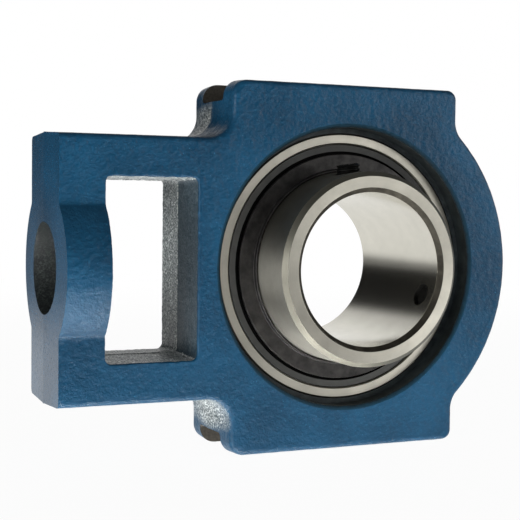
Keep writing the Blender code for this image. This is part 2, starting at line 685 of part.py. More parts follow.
def main():
    clear_scene()
    centre = bpy.data.objects.new("bearing_centre", None)
    bpy.context.scene.collection.objects.link(centre)
    centre.location = (0, 0, BEARING_HEIGHT)
    ring_steel = finish("ring_steel", (0.45, 0.44, 0.41), 1, 0.35)
    seal_rubber = finish("seal_rubber", (0.03, 0.03, 0.03), 0, 0.6)
    dark_steel = finish("dark_steel", (0.04, 0.04, 0.04), 1, 0.4)
    make_housing(centre, finish("blue_paint", (0.03, 0.11, 0.24), 0, 0.45))
    make_outer_ring(centre, ring_steel)
    make_inner_ring(centre, ring_steel)
    make_balls(centre, finish("ball_steel", (0.6, 0.6, 0.6), 1, 0.12))
    make_cage(centre, finish("cage_steel", (0.4, 0.4, 0.41), 1, 0.4))
    make_seals(centre, seal_rubber, dark_steel)
    make_set_screws(centre, finish("black_oxide", (0.02, 0.02, 0.02), 1, 0.45))
    make_nipple(centre, finish("zinc_plate", (0.6, 0.58, 0.5), 1, 0.3))


main()
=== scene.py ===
"""Looks of the take-up bearing unit: sand-cast painted housing, ground steel, rubber, threads and light.

Lengths are metres in the part's own frame, where the shaft runs along Y through BEARING.
"""

import itertools
import json
import math

import bmesh
import bpy
import numpy as np
from mathutils import Matrix, Vector, noise


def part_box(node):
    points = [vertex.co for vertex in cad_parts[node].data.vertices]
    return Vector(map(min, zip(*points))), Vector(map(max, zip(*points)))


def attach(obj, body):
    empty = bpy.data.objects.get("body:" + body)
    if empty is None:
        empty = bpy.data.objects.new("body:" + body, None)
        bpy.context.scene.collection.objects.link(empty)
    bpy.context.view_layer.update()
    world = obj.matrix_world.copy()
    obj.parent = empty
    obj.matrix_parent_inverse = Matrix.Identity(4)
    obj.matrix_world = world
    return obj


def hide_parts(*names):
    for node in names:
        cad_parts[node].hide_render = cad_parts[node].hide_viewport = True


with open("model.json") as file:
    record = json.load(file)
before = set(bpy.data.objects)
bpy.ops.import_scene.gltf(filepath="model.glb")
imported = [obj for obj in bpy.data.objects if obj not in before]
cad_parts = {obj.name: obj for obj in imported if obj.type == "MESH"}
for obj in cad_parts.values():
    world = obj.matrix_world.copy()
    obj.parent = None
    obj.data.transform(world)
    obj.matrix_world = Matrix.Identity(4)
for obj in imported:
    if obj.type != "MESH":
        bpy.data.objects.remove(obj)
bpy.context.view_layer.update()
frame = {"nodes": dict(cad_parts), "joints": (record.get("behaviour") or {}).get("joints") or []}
NODES = frame["nodes"]
HOUSING_LOW, HOUSING_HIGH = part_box("housing")
BEARING = Vector(next(joint["pos_m"] for joint in frame["joints"] if joint["name"] == "shaft_spin"))

# Casting: outline about the bearing centre
NOSE_END = HOUSING_LOW.x
TAIL_RADIUS = HOUSING_HIGH.x
BOSS_RADIUS = HOUSING_HIGH.y
FLANGE_TOP = HOUSING_HIGH.z - BEARING.z
HALF_SLAB = 0.021
DRAFT = math.tan(math.radians(2.5))
NOSE_TOP = 0.051
GUIDE_NOSE = -0.052
GUIDE_TAIL = 0.050
GUIDE_HALF_WIDTH = 0.011
GUIDE_FLOOR = 0.065
GUIDE_ROOT = 0.0015
GUIDE_NOSE_CORNER = 0.007
GUIDE_TAIL_CORNER = 0.005
SHOULDER_FILLET = 0.009
NECK_FILLET = 0.009
NOSE_DRAFT = math.tan(math.radians(1.2))
NOSE_SURPLUS = 0.0025
SLAB_EDGE_ROUND = 0.002
BOSS_FILLET = 0.0005
WINDOW_CENTRE = -0.08305
WINDOW_HALF_LENGTH = 0.01725
WINDOW_HALF_HEIGHT = 0.03375
WINDOW_CORNER = 0.0016
WINDOW_EDGE_ROUND = 0.0009
WINDOW_EDGE_ROWS = (0.4, 0.7, 0.9, 1)
HOLLOW_REACH = 0.0012
HOLLOW_COVER = 1.3
FLASH_HEIGHT = 0.00025
FLASH_REACH = 0.0005

# Casting: machined bore, holes and seats
BORE_RADIUS = 0.0557
BORE_EDGE_WIDTH = 0.0017
BORE_EDGE_DEPTH = 0.0010
SEAT_RADIUS = 0.0553
HALF_SEAT = 0.013
LUBE_PLANE = 0.008
LUBE_HALF_WIDTH = 0.0015
LUBE_DEPTH = 0.0015
SLOT_HALF_WIDTH = 0.014
SLOT_RADIUS = 0.05545
SLOT_START = 0.001
SCREW_HOLE_RADIUS = 0.0175
TOOL_REACH = 0.004

# Casting: fineness and texture
CELL = 0.0009
RELAX_ROUNDS = 3
SAND_MIX = (0.9, 2.1, 3)
GRAIN_SCALE = 260
GRAIN_HEIGHT = 0.00006
GRAIN_TOP = 1.2
SWELL_SCALE = 45
SWELL_HEIGHT = 0.00005
WALL_GRAIN_SCALE = 480
WALL_GRAIN_HEIGHT = 0.00016

# Grease nipple: seat and shape along its own axis
NIPPLE_TILT = math.radians(35)
NIPPLE_SPOTFACE_DEPTH = 0.0012
NIPPLE_SPOTFACE_RADIUS = 0.00562
NIPPLE_HEX_WIDTH = 0.008
NIPPLE_HEX_FOOT = 0.0003
NIPPLE_HEX_TOP = 0.0035
NIPPLE_TIP = 0.0080
NIPPLE_THREAD_RADIUS = 0.003
NIPPLE_THREAD_LENGTH = 0.0055
NIPPLE_PASSAGE_RADIUS = 0.0015
NIPPLE_NECK_RADIUS = 0.0022
NIPPLE_HEAD_RADIUS = 0.00325
NIPPLE_HEAD_LENGTH = 0.003
NIPPLE_MOUTH_RADIUS = 0.0009
NIPPLE_MOUTH_DEPTH = 0.0025
NIPPLE_EASE = 0.0004
NIPPLE_HEX_CHAMFER = 0.0004
NIPPLE_HEX_END_SHARE = 0.93
CHECK_BALL_SHARE = 0.9

# Set screws: a thread's flank and root are shares of its depth and pitch
SCREW_RADIUS = 0.0047
SCREW_LENGTH = 0.010
SCREW_PITCH = 0.0015
SCREW_THREAD_DEPTH = 0.0007
SCREW_SOCKET_WIDTH = 0.005
SCREW_SOCKET_DEPTH = 0.0045
SCREW_HOLE_IN_RING = 0.005
SCREW_CLOCKS = (math.radians(98.7), math.radians(-21.3))
SCREW_PLANE = -0.0291
SCREW_TOP = 0.0412
SCREW_CHAMFER = 0.0012
SCREW_FOOT_SHARE = 0.1
SCREW_TOP_SHARE = 0.55
SCREW_CUP_RADIUS = 0.0023
SCREW_CUP_SHARE = 0.1
THREAD_FLANK = 1.3
THREAD_ROOT = 0.12
SOCKET_CONE_SHARE = 0.2
SOCKET_CONE_DEPTH = 0.0008
SOCKET_SURPLUS = 0.001
COUNTERSINK = 0.0004
SCREW_HOLE_LIP = 0.0005
SCREW_HOLE_LIP_DEPTH = 0.0006

# Insert bearing
RING_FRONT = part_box("inner_ring")[0].y
RING_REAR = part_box("inner_ring")[1].y
RING_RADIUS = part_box("inner_ring")[1].x
OUTER_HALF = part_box("outer_ring")[1].y
SPHERE_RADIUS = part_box("outer_ring")[1].x
BALL_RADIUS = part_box("ball_01")[1].y
BORE = 0.030
PITCH_RADIUS = 0.0425
RACEWAY_RADIUS = 0.008255
RACE_GAP = 0.0002
OUTER_LAND = 0.047
SEAL_SEAT = 0.0494
SEAL_SEAT_DEPTH = 0.0025
OUTER_CHAMFER = 0.0004
RING_CHAMFER = 0.0018
BORE_CHAMFER = 0.0018
EDGE_EASE = 0.00025
LUBE_HOLE_RADIUS = 0.0012
FIT_GAP = 0.0003
SEAL_RECESS = 0.0006
SEAL_THICKNESS = 0.0012
SEAL_BEAD_THICKNESS = 0.0016
SEAL_BEAD_WIDTH = 0.0015
SEAL_LIP = 0.0007
SEAL_LIP_LENGTH = 0.0013
SEAL_STEP = 0.0003
SEAL_HOLLOW_RADIUS = 0.0463
SEAL_HOLLOW_DEPTH = 0.0008
FLINGER_PROUD = 0.0009
FLINGER_THICKNESS = 0.0009
FLINGER_RIM = 0.0453
FLINGER_COLLAR = 0.0018

# Fineness of turned and threaded pieces
FINE_STEPS = 192
PLAIN_STEPS = 64
SMALL_STEPS = 48
HEX_STEPS = 72
ROWS_PER_PITCH = 12
MERGE_DISTANCE = 1e-7
SOFT_BEND = math.radians(20)

# Colours
PAINT_DARK = (0.002, 0.030, 0.066)
PAINT_LIGHT = (0.004, 0.048, 0.102)
# Light blue that the strokes and specks blend toward: painted highlights on the grain
PAINT_GLINT = (0.024, 0.124, 0.215)
EDGE_BARE = (0.004, 0.010, 0.013)
EDGE_TEAL = (0.006, 0.034, 0.060)
SAND_DARK = (0.050, 0.068, 0.074)
# The pale sand tone is real sand, and in the lower shoulder's hollow also a painted highlight of light from
# below
SAND_LIGHT = (0.86, 0.90, 0.88)
MIST_DARK = (0.006, 0.020, 0.032)
MIST_LIGHT = (0.070, 0.100, 0.115)
CORE_DARK = (0.003, 0.005, 0.006)
CORE_LIGHT = (0.045, 0.055, 0.050)
FLASH_DARK = (0.16, 0.18, 0.18)
FLASH_LIGHT = (0.75, 0.76, 0.72)
BORED_TONES = ((0.006, 0.010, 0.012), (0.022, 0.030, 0.032))
MILLED_TONES = ((0.012, 0.010, 0.006), (0.045, 0.038, 0.028))
FACE_STEEL = (0.50, 0.48, 0.415)
OUTSIDE_STEEL = (0.33, 0.32, 0.28)
BORE_STEEL = (0.70, 0.68, 0.60)
# The chamfer colours are darkened below the faces' steel as painted dark reflection and shade
CHAMFER_DARK_REFLECTION = (0.15, 0.145, 0.12)
CHAMFER_SHADE_TONES = ((0.018, 0.016, 0.012), (0.045, 0.041, 0.032))
HOLE_TONES = ((0.02, 0.02, 0.02), (0.06, 0.06, 0.055))
OXIDE_TONES = ((0.004, 0.004, 0.004), (0.014, 0.014, 0.013))
RUBBER_TONES = ((0.014, 0.015, 0.014), (0.042, 0.042, 0.038))
# Near-black rubber that paints the shade in the seal's hollow
PAINTED_SHADE_TONES = ((0.001, 0.001, 0.001), (0.003, 0.003, 0.003))
FLINGER_TONES = ((0.020, 0.019, 0.019), (0.052, 0.050, 0.048))
BALL_TONES = ((0.66, 0.66, 0.67), (0.76, 0.76, 0.75))
CAGE_TONES = ((0.24, 0.24, 0.23), (0.42, 0.42, 0.41))
ZINC_TONES = ((0.42, 0.39, 0.30), (0.62, 0.59, 0.50))
FLOOR_PALE = (0.86, 0.86, 0.86)

# Camera, from the photograph: place from the bearing centre, angles in degrees, lens in the frame's pixels
CAMERA_PLACE = (-0.230587, -0.45399, 0.026226)
CAMERA_YAW = 24.35
CAMERA_PITCH = -2.568
CAMERA_ROLL = 0.658
CAMERA_CLIP = (0.05, 30)
SENSOR_WIDTH = 36
FRAME_PIXELS = 520
FOCAL_PIXELS = 1227.2
CENTRE_RIGHT = 11.6
CENTRE_UP = 4.216

# Light: lamp powers in watts. The room's brightness goes by direction: a span is a range of cosines
KEY_PLACE = (-1.2, -0.5, -0.1)
KEY_POWER = 15.0
FILL_PLACE = (1.0, -0.85, 0.3)
FILL_POWER = 6.5
TABLE_PLACE = (-0.1, -0.3, -0.55)
TABLE_POWER = 12.5
LAMP_SIZE = 0.7
TABLE_SIZE = 0.8
BACKDROP_YAW = 24
BACKDROP_SPAN = (0.55, 0.9)
ROOM_LEVEL = 0.10
OVERHEAD_LEVEL = 0.2
OVERHEAD_SPAN = (0.45, 0.85)
GAP_YAW = -22
GAP_PITCH = 9
GAP_SPAN = (0.90, 0.955)
GAP_SHARE = 0.05
FLOOR_GLOW_NEAR = 0.96
FLOOR_GLOW_REACH = (0.25, 1.0)
FLOOR_GLOW_FRONT = 0.1
FLOOR_FRONT_REACH = (-0.5, -0.1)
FLOOR_GAP_REACH = (0.4, 0.8)
FLOOR_HALF = 8
FLOOR_TOP = HOUSING_LOW.z - 0.0001
FLOOR_BOTTOM = HOUSING_LOW.z - 0.05


def arc(centre_x, centre_z, radius, start, end, steps):
    """Points along an arc between two angles in degrees, both ends included."""
    angles = np.radians(np.linspace(start, end, steps + 1))
    return [(centre_x + radius * math.cos(a), centre_z + radius * math.sin(a)) for a in angles]


def upper_outline():
    """The upper half of the casting's (x, z) outline at the parting plane, from just below its middle."""
    nose = NOSE_END - NOSE_SURPLUS
    top = FLANGE_TOP + GUIDE_HALF_WIDTH * DRAFT
    neck_x = GUIDE_TAIL + NECK_FILLET
    neck_z = math.sqrt((TAIL_RADIUS + NECK_FILLET) ** 2 - neck_x**2)
    meet = math.degrees(math.atan2(neck_z, neck_x))
    upper = [(nose, NOSE_TOP)]
    upper += arc(GUIDE_NOSE - SHOULDER_FILLET, NOSE_TOP + SHOULDER_FILLET, SHOULDER_FILLET, 270, 360, 12)
    upper += arc(GUIDE_NOSE + GUIDE_NOSE_CORNER, top - GUIDE_NOSE_CORNER, GUIDE_NOSE_CORNER, 180, 90, 10)
    upper += arc(GUIDE_TAIL - GUIDE_TAIL_CORNER, top - GUIDE_TAIL_CORNER, GUIDE_TAIL_CORNER, 90, 0, 8)
    upper += arc(neck_x, neck_z, NECK_FILLET, 180, 180 + meet, 10)[:-1]
    below = -TAIL_RADIUS / 10
    return [(nose, below)] + upper + arc(0, 0, TAIL_RADIUS, meet, 0, 24) + [(TAIL_RADIUS, below)]


def outline_distance(x, z):
    """Distance from (x, z) to the casting's outline, negative inside. The lower half mirrors the upper."""
    z = np.abs(z)
    nearest = np.full(np.broadcast(x, z).shape, np.inf)
    inside = np.zeros(nearest.shape, bool)
    for (ax, az), (bx, bz) in zip(UPPER_OUTLINE, UPPER_OUTLINE[1:]):
        run, rise = bx - ax, bz - az
        along = np.clip(((x - ax) * run + (z - az) * rise) / (run**2 + rise**2), 0, 1)
        nearest = np.minimum(nearest, np.hypot(x - ax - along * run, z - az - along * rise))
        if rise:
            spans = (az > z) != (bz > z)
            inside ^= spans & (x < ax + (z - az) * run / rise)
    return np.where(inside, -nearest, nearest)


def rounded_edge(a, b, radius):
    """The overlap of two shapes, given as distances, with their shared edge rounded."""
    outside = np.hypot(np.maximum(a + radius, 0), np.maximum(b + radius, 0))
    return np.minimum(np.maximum(a, b), -radius) + outside


def filleted(a, b, radius):
    """Two shapes joined, given as distances, with a fillet where they meet."""
    inside = np.hypot(np.maximum(radius - a, 0), np.maximum(radius - b, 0))
    return np.maximum(np.minimum(a, b), radius) - inside


UPPER_OUTLINE = upper_outline()


def casting_distance(x, y, z):
    """Distance from the rough casting, before its nose end and holes are cut, about the bearing centre."""
    draw = np.abs(y) * DRAFT
    flash = FLASH_HEIGHT * np.clip(1 - np.abs(y) / FLASH_REACH, 0, 1)
    side = outline_distance(x, z) + draw - flash
    slab = rounded_edge(side, np.abs(y) - HALF_SLAB, SLAB_EDGE_ROUND)
    boss_ends = np.maximum(NOSE_END - NOSE_SURPLUS - x, x - WINDOW_CENTRE)
    boss = np.maximum(np.hypot(y, z) - BOSS_RADIUS, boss_ends)
    return np.maximum(filleted(slab, boss, BOSS_FILLET), x - TAIL_RADIUS)


def surface_net(distance, axes):
    """Points and quads of a distance field's zero surface: one point in each grid cell that it crosses."""
    inside = distance(*np.meshgrid(*axes, indexing="ij", sparse=True)) < 0
    cells = tuple(size - 1 for size in inside.shape)
    corners = np.zeros(cells, int)
    for offset in itertools.product((0, 1), repeat=3):
        corners += inside[tuple(slice(o, o + c) for o, c in zip(offset, cells))]
    crossed = (corners > 0) & (corners < 8)
    number = np.full(cells, -1)
    number[crossed] = np.arange(crossed.sum())
    middles = [(axis[1:] + axis[:-1]) / 2 for axis in axes]
    points = np.stack([middle[i] for middle, i in zip(middles, np.nonzero(crossed))], axis=1)
    quads = []
    for axis in range(3):
        order = [axis, (axis + 1) % 3, (axis + 2) % 3]
        solid = np.transpose(inside, order)
        cell = np.transpose(number, order)
        before, after = solid[:-1, 1:-1, 1:-1], solid[1:, 1:-1, 1:-1]
        i, j, k = np.nonzero(before != after)
        loop = np.stack([cell[i, j, k], cell[i, j + 1, k], cell[i, j + 1, k + 1], cell[i, j, k + 1]], axis=1)
        turned_round = after[i, j, k]
        loop[turned_round] = loop[turned_round][:, ::-1]
        quads.append(loop)
    return points, np.concatenate(quads)


def slope(distance, points):
    """The distance field and its gradient at each point."""
    step = CELL / 20
    here = distance(*points.T)
    ahead = [distance(*(points + step * unit).T) for unit in np.eye(3)]
    return here, np.stack([(there - here) / step for there in ahead], axis=1)


def pulled_to_surface(distance, points):
    here, gradient = slope(distance, points)
    steepness = np.maximum((gradient**2).sum(axis=1), 0.1)
    return points - (here / steepness)[:, None] * gradient


def evened_out(points, quads):
    """Each point moved to the middle of its neighbours."""
    ends = np.concatenate([np.stack([quads[:, i], quads[:, (i + 1) % 4]], axis=1) for i in range(4)])
    count = np.bincount(ends[:, 0], minlength=len(points)) + np.bincount(ends[:, 1], minlength=len(points))
    total = np.zeros_like(points)
    for axis in range(3):
        total[:, axis] = np.bincount(ends[:, 0], points[ends[:, 1], axis], len(points))
        total[:, axis] += np.bincount(ends[:, 1], points[ends[:, 0], axis], len(points))
    return total / count[:, None]


def cast_grain(points):
    """How far sand and shrinkage draw each point of the casting in."""
    grain = [noise.fractal(Vector(p) * GRAIN_SCALE, *SAND_MIX) for p in points]
    swell = [noise.noise(Vector(p) * SWELL_SCALE) for p in points]
    depth = GRAIN_HEIGHT * (np.array(grain) - GRAIN_TOP) + SWELL_HEIGHT * (np.array(swell) - 1)
    return np.minimum(depth, 0)


def new_object(name, mesh):
    piece = bpy.data.objects.new(name, mesh)
    bpy.context.scene.collection.objects.link(piece)
    return piece


def rough_casting():
    """The casting's mesh before machining: even quads on the distance field's surface, then its grain."""
    spans = [(NOSE_END - NOSE_SURPLUS, TAIL_RADIUS), (-BOSS_RADIUS, BOSS_RADIUS), (-FLANGE_TOP, FLANGE_TOP)]
    axes = []
    for low, high in spans:
        half_count = math.ceil((high - low) / 2 / CELL) + 2
        axes.append((low + high) / 2 + CELL * (np.arange(2 * half_count) - half_count + 0.5))
    points, quads = surface_net(casting_distance, axes)
    points = pulled_to_surface(casting_distance, points)
    for _ in range(RELAX_ROUNDS):
        points = pulled_to_surface(casting_distance, evened_out(points, quads))
    points = pulled_to_surface(casting_distance, points)
    _, outward = slope(casting_distance, points)
    outward /= np.linalg.norm(outward, axis=1)[:, None]
    points = points + cast_grain(points)[:, None] * outward + np.array(BEARING)
    mesh = bpy.data.meshes.new("housing_casting")
    mesh.from_pydata(points.tolist(), [], quads.tolist())
    return new_object("housing_casting", mesh)


def turned(name, profile, steps=FINE_STEPS, centre=BEARING, axis=(0, 1, 0)):
    """A solid of revolution from (radius, height) points, closed along its profile."""
    turn = Vector((0, 1, 0)).rotation_difference(Vector(axis)).to_matrix()
    rings = []
    for step in range(steps):
        angle = math.tau * step / steps
        across, aside = math.cos(angle), -math.sin(angle)
        spoke = [Vector((radius * across, height, radius * aside)) for radius, height in profile]
        rings.append([Vector(centre) + turn @ point for point in spoke])
    return lofted(name, rings, closed=True)


def lofted(name, rings, closed=False):
    """A solid through rings of equal point counts, capped at its ends or closed on itself."""
    bm = bmesh.new()
    layers = [[bm.verts.new(point) for point in ring] for ring in rings]
    pairs = list(zip(layers, layers[1:]))
    if closed:
        pairs.append((layers[-1], layers[0]))
    for lower, upper in pairs:
        for index in range(len(lower)):
            after = (index + 1) % len(lower)
            bm.faces.new((lower[index], lower[after], upper[after], upper[index]))
    if not closed:
        bm.faces.new(layers[0])
        bm.faces.new(layers[-1])
    bmesh.ops.remove_doubles(bm, verts=bm.verts, dist=MERGE_DISTANCE)
    bmesh.ops.dissolve_degenerate(bm, edges=bm.edges, dist=MERGE_DISTANCE)
    bmesh.ops.recalc_face_normals(bm, faces=bm.faces)
    mesh = bpy.data.meshes.new(name)
    bm.to_mesh(mesh)
    bm.free()
    return new_object(name, mesh)


def softened(profile, radius, steps=3):
    """A closed (radius, height) profile with its corners rounded, apart from those on the axis."""
    points = [Vector(point) for point in profile]
    soft = []
    for before, here, after in zip(points[-1:] + points[:-1], points, points[1:] + points[:1]):
        back, on = before - here, after - here
        bend = math.pi - back.angle(on)
        if bend < SOFT_BEND or here.x < MERGE_DISTANCE:
            soft.append(tuple(here))
            continue
        reach = min(radius * math.tan(bend / 2), 0.45 * back.length, 0.45 * on.length)
        start, end = here + back.normalized() * reach, here + on.normalized() * reach
        for step in range(steps + 1):
            t = step / steps
            soft.append(tuple((1 - t) ** 2 * start + 2 * t * (1 - t) * here + t**2 * end))
    return soft


def hexagon(width):
    corner = width / math.sqrt(3)
    return arc(0, 0, corner, 0, 360, 6)[:-1]


def stood_up(rings, centre, axis):
    """Rings of (across, along, across) points, turned so that their second coordinate runs along an axis."""
    turn = Vector((0, 1, 0)).rotation_difference(Vector(axis)).to_matrix()
    return [[Vector(centre) + turn @ Vector(point) for point in ring] for ring in rings]


def finished(piece, *materials, zone=None):
    """Gives a piece its materials. zone picks one of them by a face's centre and normal, from 0."""
    piece.data.materials.clear()
    for material in materials:
        piece.data.materials.append(material)
    if zone:
        for face in piece.data.polygons:
            face.material_index = zone(face.center - BEARING, face.normal)
    return piece


def cut(piece, *tools):
    """Cuts tools out of a piece. The cut faces take the tools' materials."""
    for tool in tools:
        modifier = piece.modifiers.new(tool.name, "BOOLEAN")
        modifier.object = tool
        modifier.material_mode = "TRANSFER"
    return applied(piece, tools)


def applied(piece, tools=()):
    """Makes a piece's modifiers part of its mesh and removes the tools that they used."""
    shape = piece.evaluated_get(bpy.context.evaluated_depsgraph_get())
    mesh = bpy.data.meshes.new_from_object(shape)
    piece.modifiers.clear()
    piece.data = mesh
    for tool in tools:
        bpy.data.objects.remove(tool)
    return piece


def shaded(piece, sharp_angle=math.radians(35), weighted=True):
    """Smooth shading that keeps hard edges, with flat faces kept flat."""
    piece.data.shade_smooth()
    piece.data.set_sharp_from_angle(angle=sharp_angle)
    if weighted:
        modifier = piece.modifiers.new("weighted_normals", "WEIGHTED_NORMAL")
        modifier.keep_sharp = True
    return piece


def stands_for(piece, node, body):
    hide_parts(node)
    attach(piece, body)
    return piece


class Network:
    """A shader node tree in the making."""

    def __init__(self, tree):
        self.tree = tree

    def feed(self, socket, value):
        if isinstance(value, bpy.types.NodeSocket):
            self.tree.links.new(value, socket)
        else:
            socket.default_value = value

    def node(self, kind, inputs=None, **settings):
        made = self.tree.nodes.new("ShaderNode" + kind)
        for name, value in settings.items():
            setattr(made, name, value)
        for key, value in (inputs or {}).items():
            self.feed(made.inputs[key], value)
        return made

    def between(self, value, low, high, to_low=0.0, to_high=1.0, how="LINEAR"):
        inputs = {"Value": value, "From Min": low, "From Max": high, "To Min": to_low, "To Max": to_high}
        return self.node("MapRange", inputs, interpolation_type=how).outputs[0]

    def math(self, how, *values):
        return self.node("Math", dict(enumerate(values)), operation=how).outputs[0]

    def vector(self, how, *values):
        made = self.node("VectorMath", dict(enumerate(values)), operation=how)
        return made.outputs["Value" if how in ("DOT_PRODUCT", "LENGTH") else "Vector"]


class Finish(Network):
    """A procedural material in the making, placed by the part's own coordinates."""

    def __init__(self, name, colour=(0.5, 0.5, 0.5), roughness=0.5, metallic=0.0):
        self.material = bpy.data.materials.new(name)
        self.material.use_nodes = True
        super().__init__(self.material.node_tree)
        self.shader = self.tree.nodes["Principled BSDF"]
        self.set("Base Color", (*colour, 1))
        self.set("Roughness", roughness)
        self.set("Metallic", metallic)
        self.place = self.node("TexCoord").outputs["Object"]

    def set(self, name, value):
        self.feed(self.shader.inputs[name], value)

    def noise(self, scale, detail=3.0, roughness=0.5, place=None):
        inputs = {"Vector": place or self.place, "Scale": scale, "Detail": detail, "Roughness": roughness}
        return self.node("TexNoise", inputs).outputs[0]

    def lines(self, value, scale, detail=4.0):
        """Streaks that vary only with one value, as a grinding wheel or a lathe leaves them."""
        inputs = {"W": value, "Scale": scale, "Detail": detail, "Roughness": 0.65}
        return self.node("TexNoise", inputs, noise_dimensions="1D").outputs[0]

    def blend(self, factor, a, b):
        a, b = ((*c, 1) if isinstance(c, tuple) else c for c in (a, b))
        return self.node("Mix", {0: factor, 6: a, 7: b}, data_type="RGBA").outputs[2]

    def attribute(self, name):
        return self.node("Attribute", attribute_name=name).outputs["Fac"]

    def from_axis(self):
        """Distance from the shaft's axis, and the place along it."""
        offset = self.vector("SUBTRACT", self.place, tuple(BEARING))
        split = self.node("SeparateXYZ", {0: offset}).outputs
        flat = self.node("CombineXYZ", {"X": split["X"], "Z": split["Z"]}).outputs[0]
        return self.vector("LENGTH", flat), split["Y"]

    def relief(self, height, distance, strength=1.0):
        """Raises the surface where height is high. Calls add up."""
        normal = self.shader.inputs["Normal"]
        inputs = {"Height": height, "Distance": distance, "Strength": strength}
        if normal.is_linked:
            inputs["Normal"] = normal.links[0].from_socket
        self.set("Normal", self.node("Bump", inputs).outputs[0])


def blue_paint(name, smooth=False):
    """Enamel over sand-cast iron: clouds, fine strokes and specks lightened as painted highlights, sandy
    where the spray hardly reached and, in the lower hollow, as a painted highlight.
    """
    paint = Finish(name)
    paint.set("Specular IOR Level", 0.36 if smooth else 0.22)
    cloud = paint.between(paint.noise(38, 4), 0.35, 0.65)
    colour = paint.blend(cloud, PAINT_DARK, PAINT_LIGHT)
    strokes = paint.noise(1, 3, 0.6, paint.vector("MULTIPLY", paint.place, (520, 520, 900)))
    specks = paint.noise(1300, 1, 0.5)
    if not smooth:
        # Lightening strokes and specks paints highlights on the grain; their relief below is real bump.
        colour = paint.blend(paint.between(strokes, 0.50, 0.75, 0, 0.2), colour, PAINT_GLINT)
        colour = paint.blend(paint.between(specks, 0.70, 0.76, 0, 0.6), colour, PAINT_GLINT)
    # Pale sand where marked: thin paint on the upper hollow's rear half, partly a painted highlight in the
    # lower hollow
    colour = paint.blend(paint.attribute("sand_and_highlight"), colour, sand_colour(paint, SAND_DARK, SAND_LIGHT))
    paint.set("Base Color", colour)
    gloss = 0.65 if smooth else 1
    paint.set("Roughness", paint.between(paint.noise(700, 3), 0.3, 0.7, 0.30 * gloss, 0.46 * gloss))
    paint.relief(strokes, 0.0003, 0.05 if smooth else 0.6)
    paint.relief(paint.noise(330, 3, 0.6), 0.0008, 0.08 if smooth else 0.7)
    paint.relief(paint.noise(1900, 2, 0.6), 0.00008, 0.1 if smooth else 0.5)
    return paint.material


def sand_colour(finish, dark, light):
    """Salt-and-pepper grains of moulding sand."""
    fine = finish.between(finish.noise(1250, 2, 0.75), 0.46, 0.62)
    patches = finish.between(finish.noise(240, 3, 0.6), 0.35, 0.65, 0.45, 1)
    return finish.blend(finish.math("MULTIPLY", fine, patches), dark, light)


def sandy_iron(name, dark, light):
    """A cored or moulded wall that the spray barely dusted."""
    wall = Finish(name, roughness=0.45)
    wall.set("Base Color", sand_colour(wall, dark, light))
    wall.relief(wall.noise(1300, 4, 0.65), 0.0003, 0.7)
    return wall.material


def milled_iron(name, dark, light):
    """Roughly cut iron, brown with old oil."""
    iron = Finish(name, roughness=0.5, metallic=0.25)
    iron.set("Base Color", iron.blend(iron.between(iron.noise(900, 4, 0.65), 0.35, 0.7), dark, light))
    iron.relief(iron.noise(1000, 4), 0.00012, 0.5)
    return iron.material


def edge_paint():
    """The bore's edge, where the paint thins toward the bare bore."""
    edge = Finish("edge_paint", roughness=0.6)
    edge.set("Specular IOR Level", 0.12)
    radius, _ = edge.from_axis()
    uneven = edge.math("MULTIPLY_ADD", edge.noise(420, 4, 0.7), BORE_EDGE_WIDTH, radius)
    cover = edge.between(uneven, BORE_RADIUS + BORE_EDGE_WIDTH / 2, BORE_RADIUS + BORE_EDGE_WIDTH * 1.3)
    edge.set("Base Color", edge.blend(cover, EDGE_BARE, EDGE_TEAL))
    edge.relief(edge.noise(900, 4), 0.0001, 0.5)
    return edge.material


def bored_iron(name, dark, light):
    """Near-black bored iron with the tool's rings."""
    iron = Finish(name, roughness=0.48, metallic=0.3)
    _, along = iron.from_axis()
    iron.set("Base Color", iron.blend(iron.between(iron.noise(300, 4), 0.35, 0.7), dark, light))
    iron.relief(iron.lines(along, 2600), 0.00003, 0.5)
    return iron.material


def ground_steel(name, colour, roughness, along_axis=False, stain=0.12, turned_grain=0.0):
    """Ground bearing steel: fine rings on faces, or bands along a bore, with a faint oil film."""
    steel = Finish(name, roughness=roughness, metallic=1.0)
    steel.set("Anisotropic", turned_grain)
    steel.set("Anisotropic Rotation", 0.25 if along_axis else 0.0)
    steel.set("Tangent", steel.node("Tangent", direction_type="RADIAL", axis="Y").outputs[0])
    radius, along = steel.from_axis()
    streak = steel.lines(along if along_axis else radius, 5200)
    cloud = steel.noise(120, 4, 0.6)
    stained = tuple(channel * (1 - 2 * stain) for channel in colour)
    scored = tuple(channel * 0.6 for channel in colour)
    tone = steel.blend(steel.between(cloud, 0.3, 0.75), colour, stained)
    tone = steel.blend(steel.between(streak, 0.3, 0.8, 0, 0.3), tone, scored)
    steel.set("Base Color", tone)
    steel.set("Roughness", steel.between(streak, 0.3, 0.7, roughness * 0.85, roughness * 1.2))
    steel.relief(streak, 0.000006, 0.6)
    steel.relief(steel.noise(1400, 2), 0.000004, 0.5)
    return steel.material


def rubber(name, dark, light, specular=0.5):
    """Moulded rubber with faint rings."""
    seal = Finish(name, roughness=0.62)
    seal.set("Specular IOR Level", specular)
    radius, _ = seal.from_axis()
    seal.set("Base Color", seal.blend(seal.noise(260, 4), dark, light))
    seal.relief(seal.lines(radius, 2400, 2), 0.00002, 0.4)
    seal.relief(seal.noise(2600, 3), 0.00003, 0.4)
    return seal.material


def coated_steel(name, dark, light, roughness):
    """Pressed or cut steel under a thin dark or plated coating."""
    steel = Finish(name, roughness=roughness, metallic=0.85)
    radius, _ = steel.from_axis()
    steel.set("Base Color", steel.blend(steel.between(steel.noise(210, 5, 0.6), 0.35, 0.7), dark, light))
    steel.set("Roughness", steel.between(steel.noise(600, 3), 0.3, 0.7, roughness * 0.85, roughness * 1.2))
    steel.relief(steel.lines(radius, 3000, 2), 0.000008, 0.5)
    steel.relief(steel.noise(1900, 3), 0.00001, 0.4)
    return steel.material


